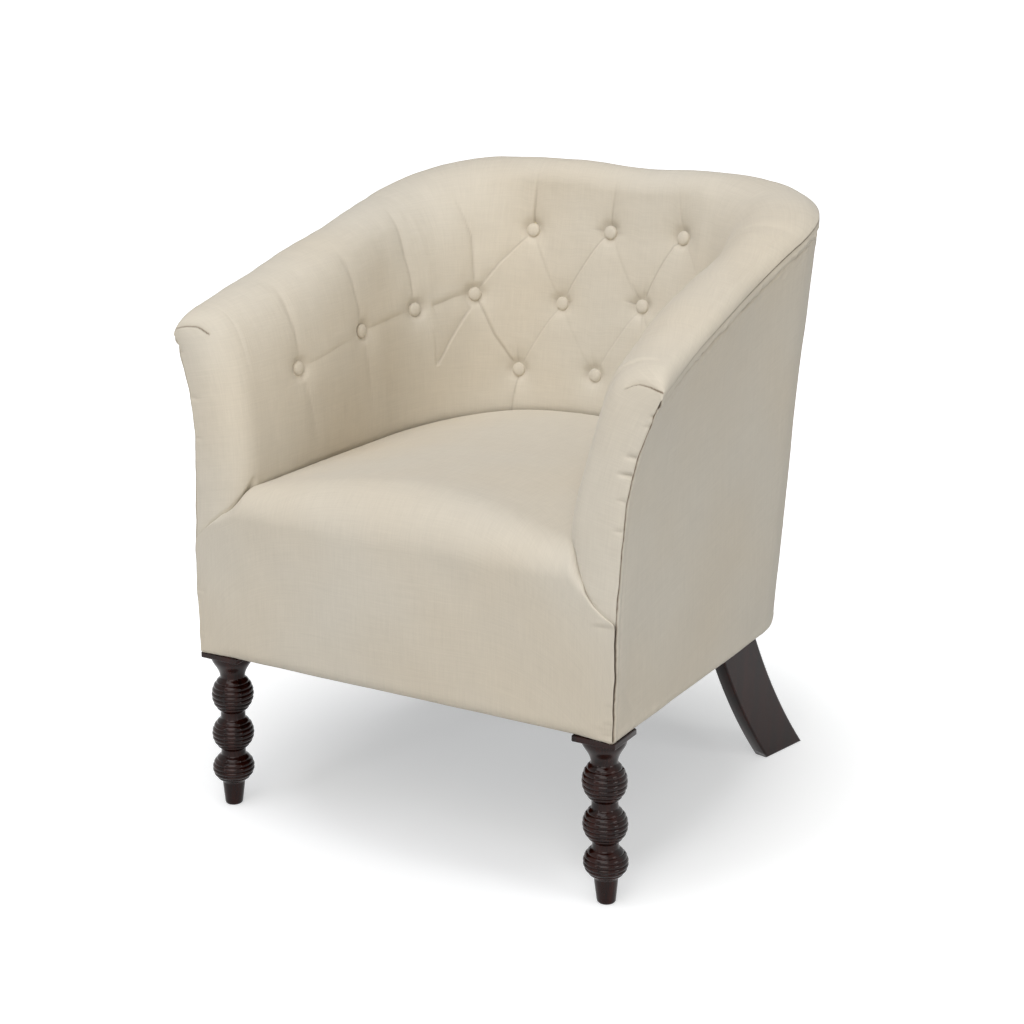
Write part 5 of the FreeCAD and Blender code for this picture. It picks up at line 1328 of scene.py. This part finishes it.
# The pieces that are seen, each with the CAD node that it replaces.
inside_cover = inside_cover_piece()
seat_cover = seat_cover_piece()
right_panel, left_panel, back_panel = (outside_piece(*panel) for panel in PANELS)
seen_pieces = (
    (inside_cover, "inside_cover"),
    (seat_cover, "seat_cover"),
    (right_panel, "right_outside_cover"),
    (left_panel, "left_outside_cover"),
    (back_panel, "outside_back_cover"),
    (buttons_piece(), "tuft_buttons"),
    (front_leg_piece("right", 1), "right_front_leg"),
    (front_leg_piece("left", -1), "left_front_leg"),
    (rear_leg_piece("right", 1), "right_rear_leg"),
    (rear_leg_piece("left", -1), "left_rear_leg"),
    (liner_piece(), "dust_cover"),
)
for piece, node_name in seen_pieces:
    set_finish(piece, slot_of[node_name])
    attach(piece, "root")
    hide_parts(node_name)

# Floor: its glow rises with the distance from the middle, in two steps; the weaker glow near
# the middle is painted shade round the chair, over its real shadow.
FLOOR_TONE = (0.65, 0.655, 0.665, 1.0)
FLOOR_WHITE = (0.975, 0.99, 1.0, 1)
GLOW_NEAR, GLOW_STEP, GLOW_FAR = 0.41, 0.42, 1.15


def stage_material(name):
    """A floor that shows white to the camera but keeps the real shadows near its middle, where its weaker
    glow adds painted shade.
    """
    shader = Shader(name, Roughness=1.0, Specular_IOR_Level=0.0)
    grain = shader.noise("Object", (1, 1, 1), 2.0)
    faint = tuple(c * 0.995 for c in FLOOR_TONE[:3]) + (1.0,)
    shader.link(shader.mix(grain, FLOOR_TONE, faint), "Base Color")
    centred = shader.place("Object", (1, 1, 1))
    away = shader.add("VectorMath", {0: centred}, operation="LENGTH").outputs["Value"]
    inner = shader.ramp(away, 0.28, 0.66, GLOW_NEAR, GLOW_NEAR + GLOW_STEP)
    outer = shader.ramp(away, 0.62, 1.2, 0.0, GLOW_FAR - GLOW_NEAR - GLOW_STEP)
    lift = shader.maths("ADD", inner, outer)
    strength = shader.maths("MULTIPLY", shader.seen(), lift)
    glow = shader.add("Emission", {"Color": FLOOR_WHITE, "Strength": strength})
    both = shader.add("AddShader", {0: shader.surface.outputs[0], 1: glow.outputs[0]})
    shader.tree.links.new(both.outputs[0], shader.out.inputs[0])
    return shader.material


bpy.ops.mesh.primitive_grid_add(x_subdivisions=4, y_subdivisions=4, size=90, location=(0, 0, -0.0004))
floor = bpy.context.object
floor.name = "studio_floor"
floor.data.materials.append(stage_material("studio_floor_pale"))

# Surroundings: white where they are seen or mirrored, and a soft ambient light elsewhere.
scene.world = bpy.data.worlds.new("studio")
studio = Nodes(scene.world)
ambient = studio.add("Background", {"Color": (1.0, 0.985, 0.94, 1.0), "Strength": 0.23})
white = studio.add("Background", {"Color": (1, 1, 1, 1), "Strength": 1.0})
choose = studio.add("MixShader", {0: studio.seen(), 1: ambient.outputs[0], 2: white.outputs[0]})
studio.add("OutputWorld", {0: choose.outputs[0]})

# Lamps: place, target, size, power and tint.
LAMPS = {
    "front_light": ((1.9, -4.95, 3.9), (0, 0, 0.5), 4.0, 163, (1.0, 0.965, 0.92)),
    "top_light": ((-0.15, -1.3, 3.8), (0, 0, 0.45), 2.6, 61, (0.99, 0.98, 1.0)),
    "side_light": ((3.6, -0.3, 1.7), (0, 0, 0.45), 0.9, 19, (0.98, 0.97, 0.95)),
    "left_spark": ((-1.05, -3.0, 1.4), (0, -0.2, 0.3), 0.25, 4.2, (1, 1, 1)),
    "right_spark": ((3.1, -0.85, 1.2), (0, -0.2, 0.3), 0.25, 4.2, (1, 1, 1)),
}
for name, (spot, target, size, power, tint) in LAMPS.items():
    light = bpy.data.lights.new(name, "AREA")
    light.shape = "SQUARE"
    light.size = size
    light.energy = power
    light.color = tint
    holder = bpy.data.objects.new(name, light)
    holder.location = spot
    holder.rotation_euler = (Vector(target) - Vector(spot)).to_track_quat("-Z", "Y").to_euler()
    scene.collection.objects.link(holder)

# Camera, as it was solved from the photo: angles in radians, focal length in pixels.
PICTURE = 1024
FOCAL = 2078.99
SENSOR = 36.0
YAW, PITCH, ROLL = 0.527, 0.2936, 0.0011
CAMERA_SPOT = (1.3088, -2.2718, 1.1642)

camera = bpy.data.cameras.new("camera")
camera.sensor_width = SENSOR
camera.lens = FOCAL / PICTURE * SENSOR
camera.clip_start, camera.clip_end = 0.05, 60
backward = Vector((math.sin(YAW) * math.cos(PITCH), -math.cos(YAW) * math.cos(PITCH), math.sin(PITCH)))
level = Vector((math.cos(YAW), math.sin(YAW), 0))
upright = backward.cross(level)
right = math.cos(ROLL) * level + math.sin(ROLL) * upright
upward = math.cos(ROLL) * upright - math.sin(ROLL) * level
turn = Matrix((right, upward, backward)).transposed().to_4x4()
holder = bpy.data.objects.new("camera", camera)
holder.matrix_world = Matrix.Translation(CAMERA_SPOT) @ turn
scene.collection.objects.link(holder)
scene.camera = holder
scene.view_settings.view_transform = "Standard"
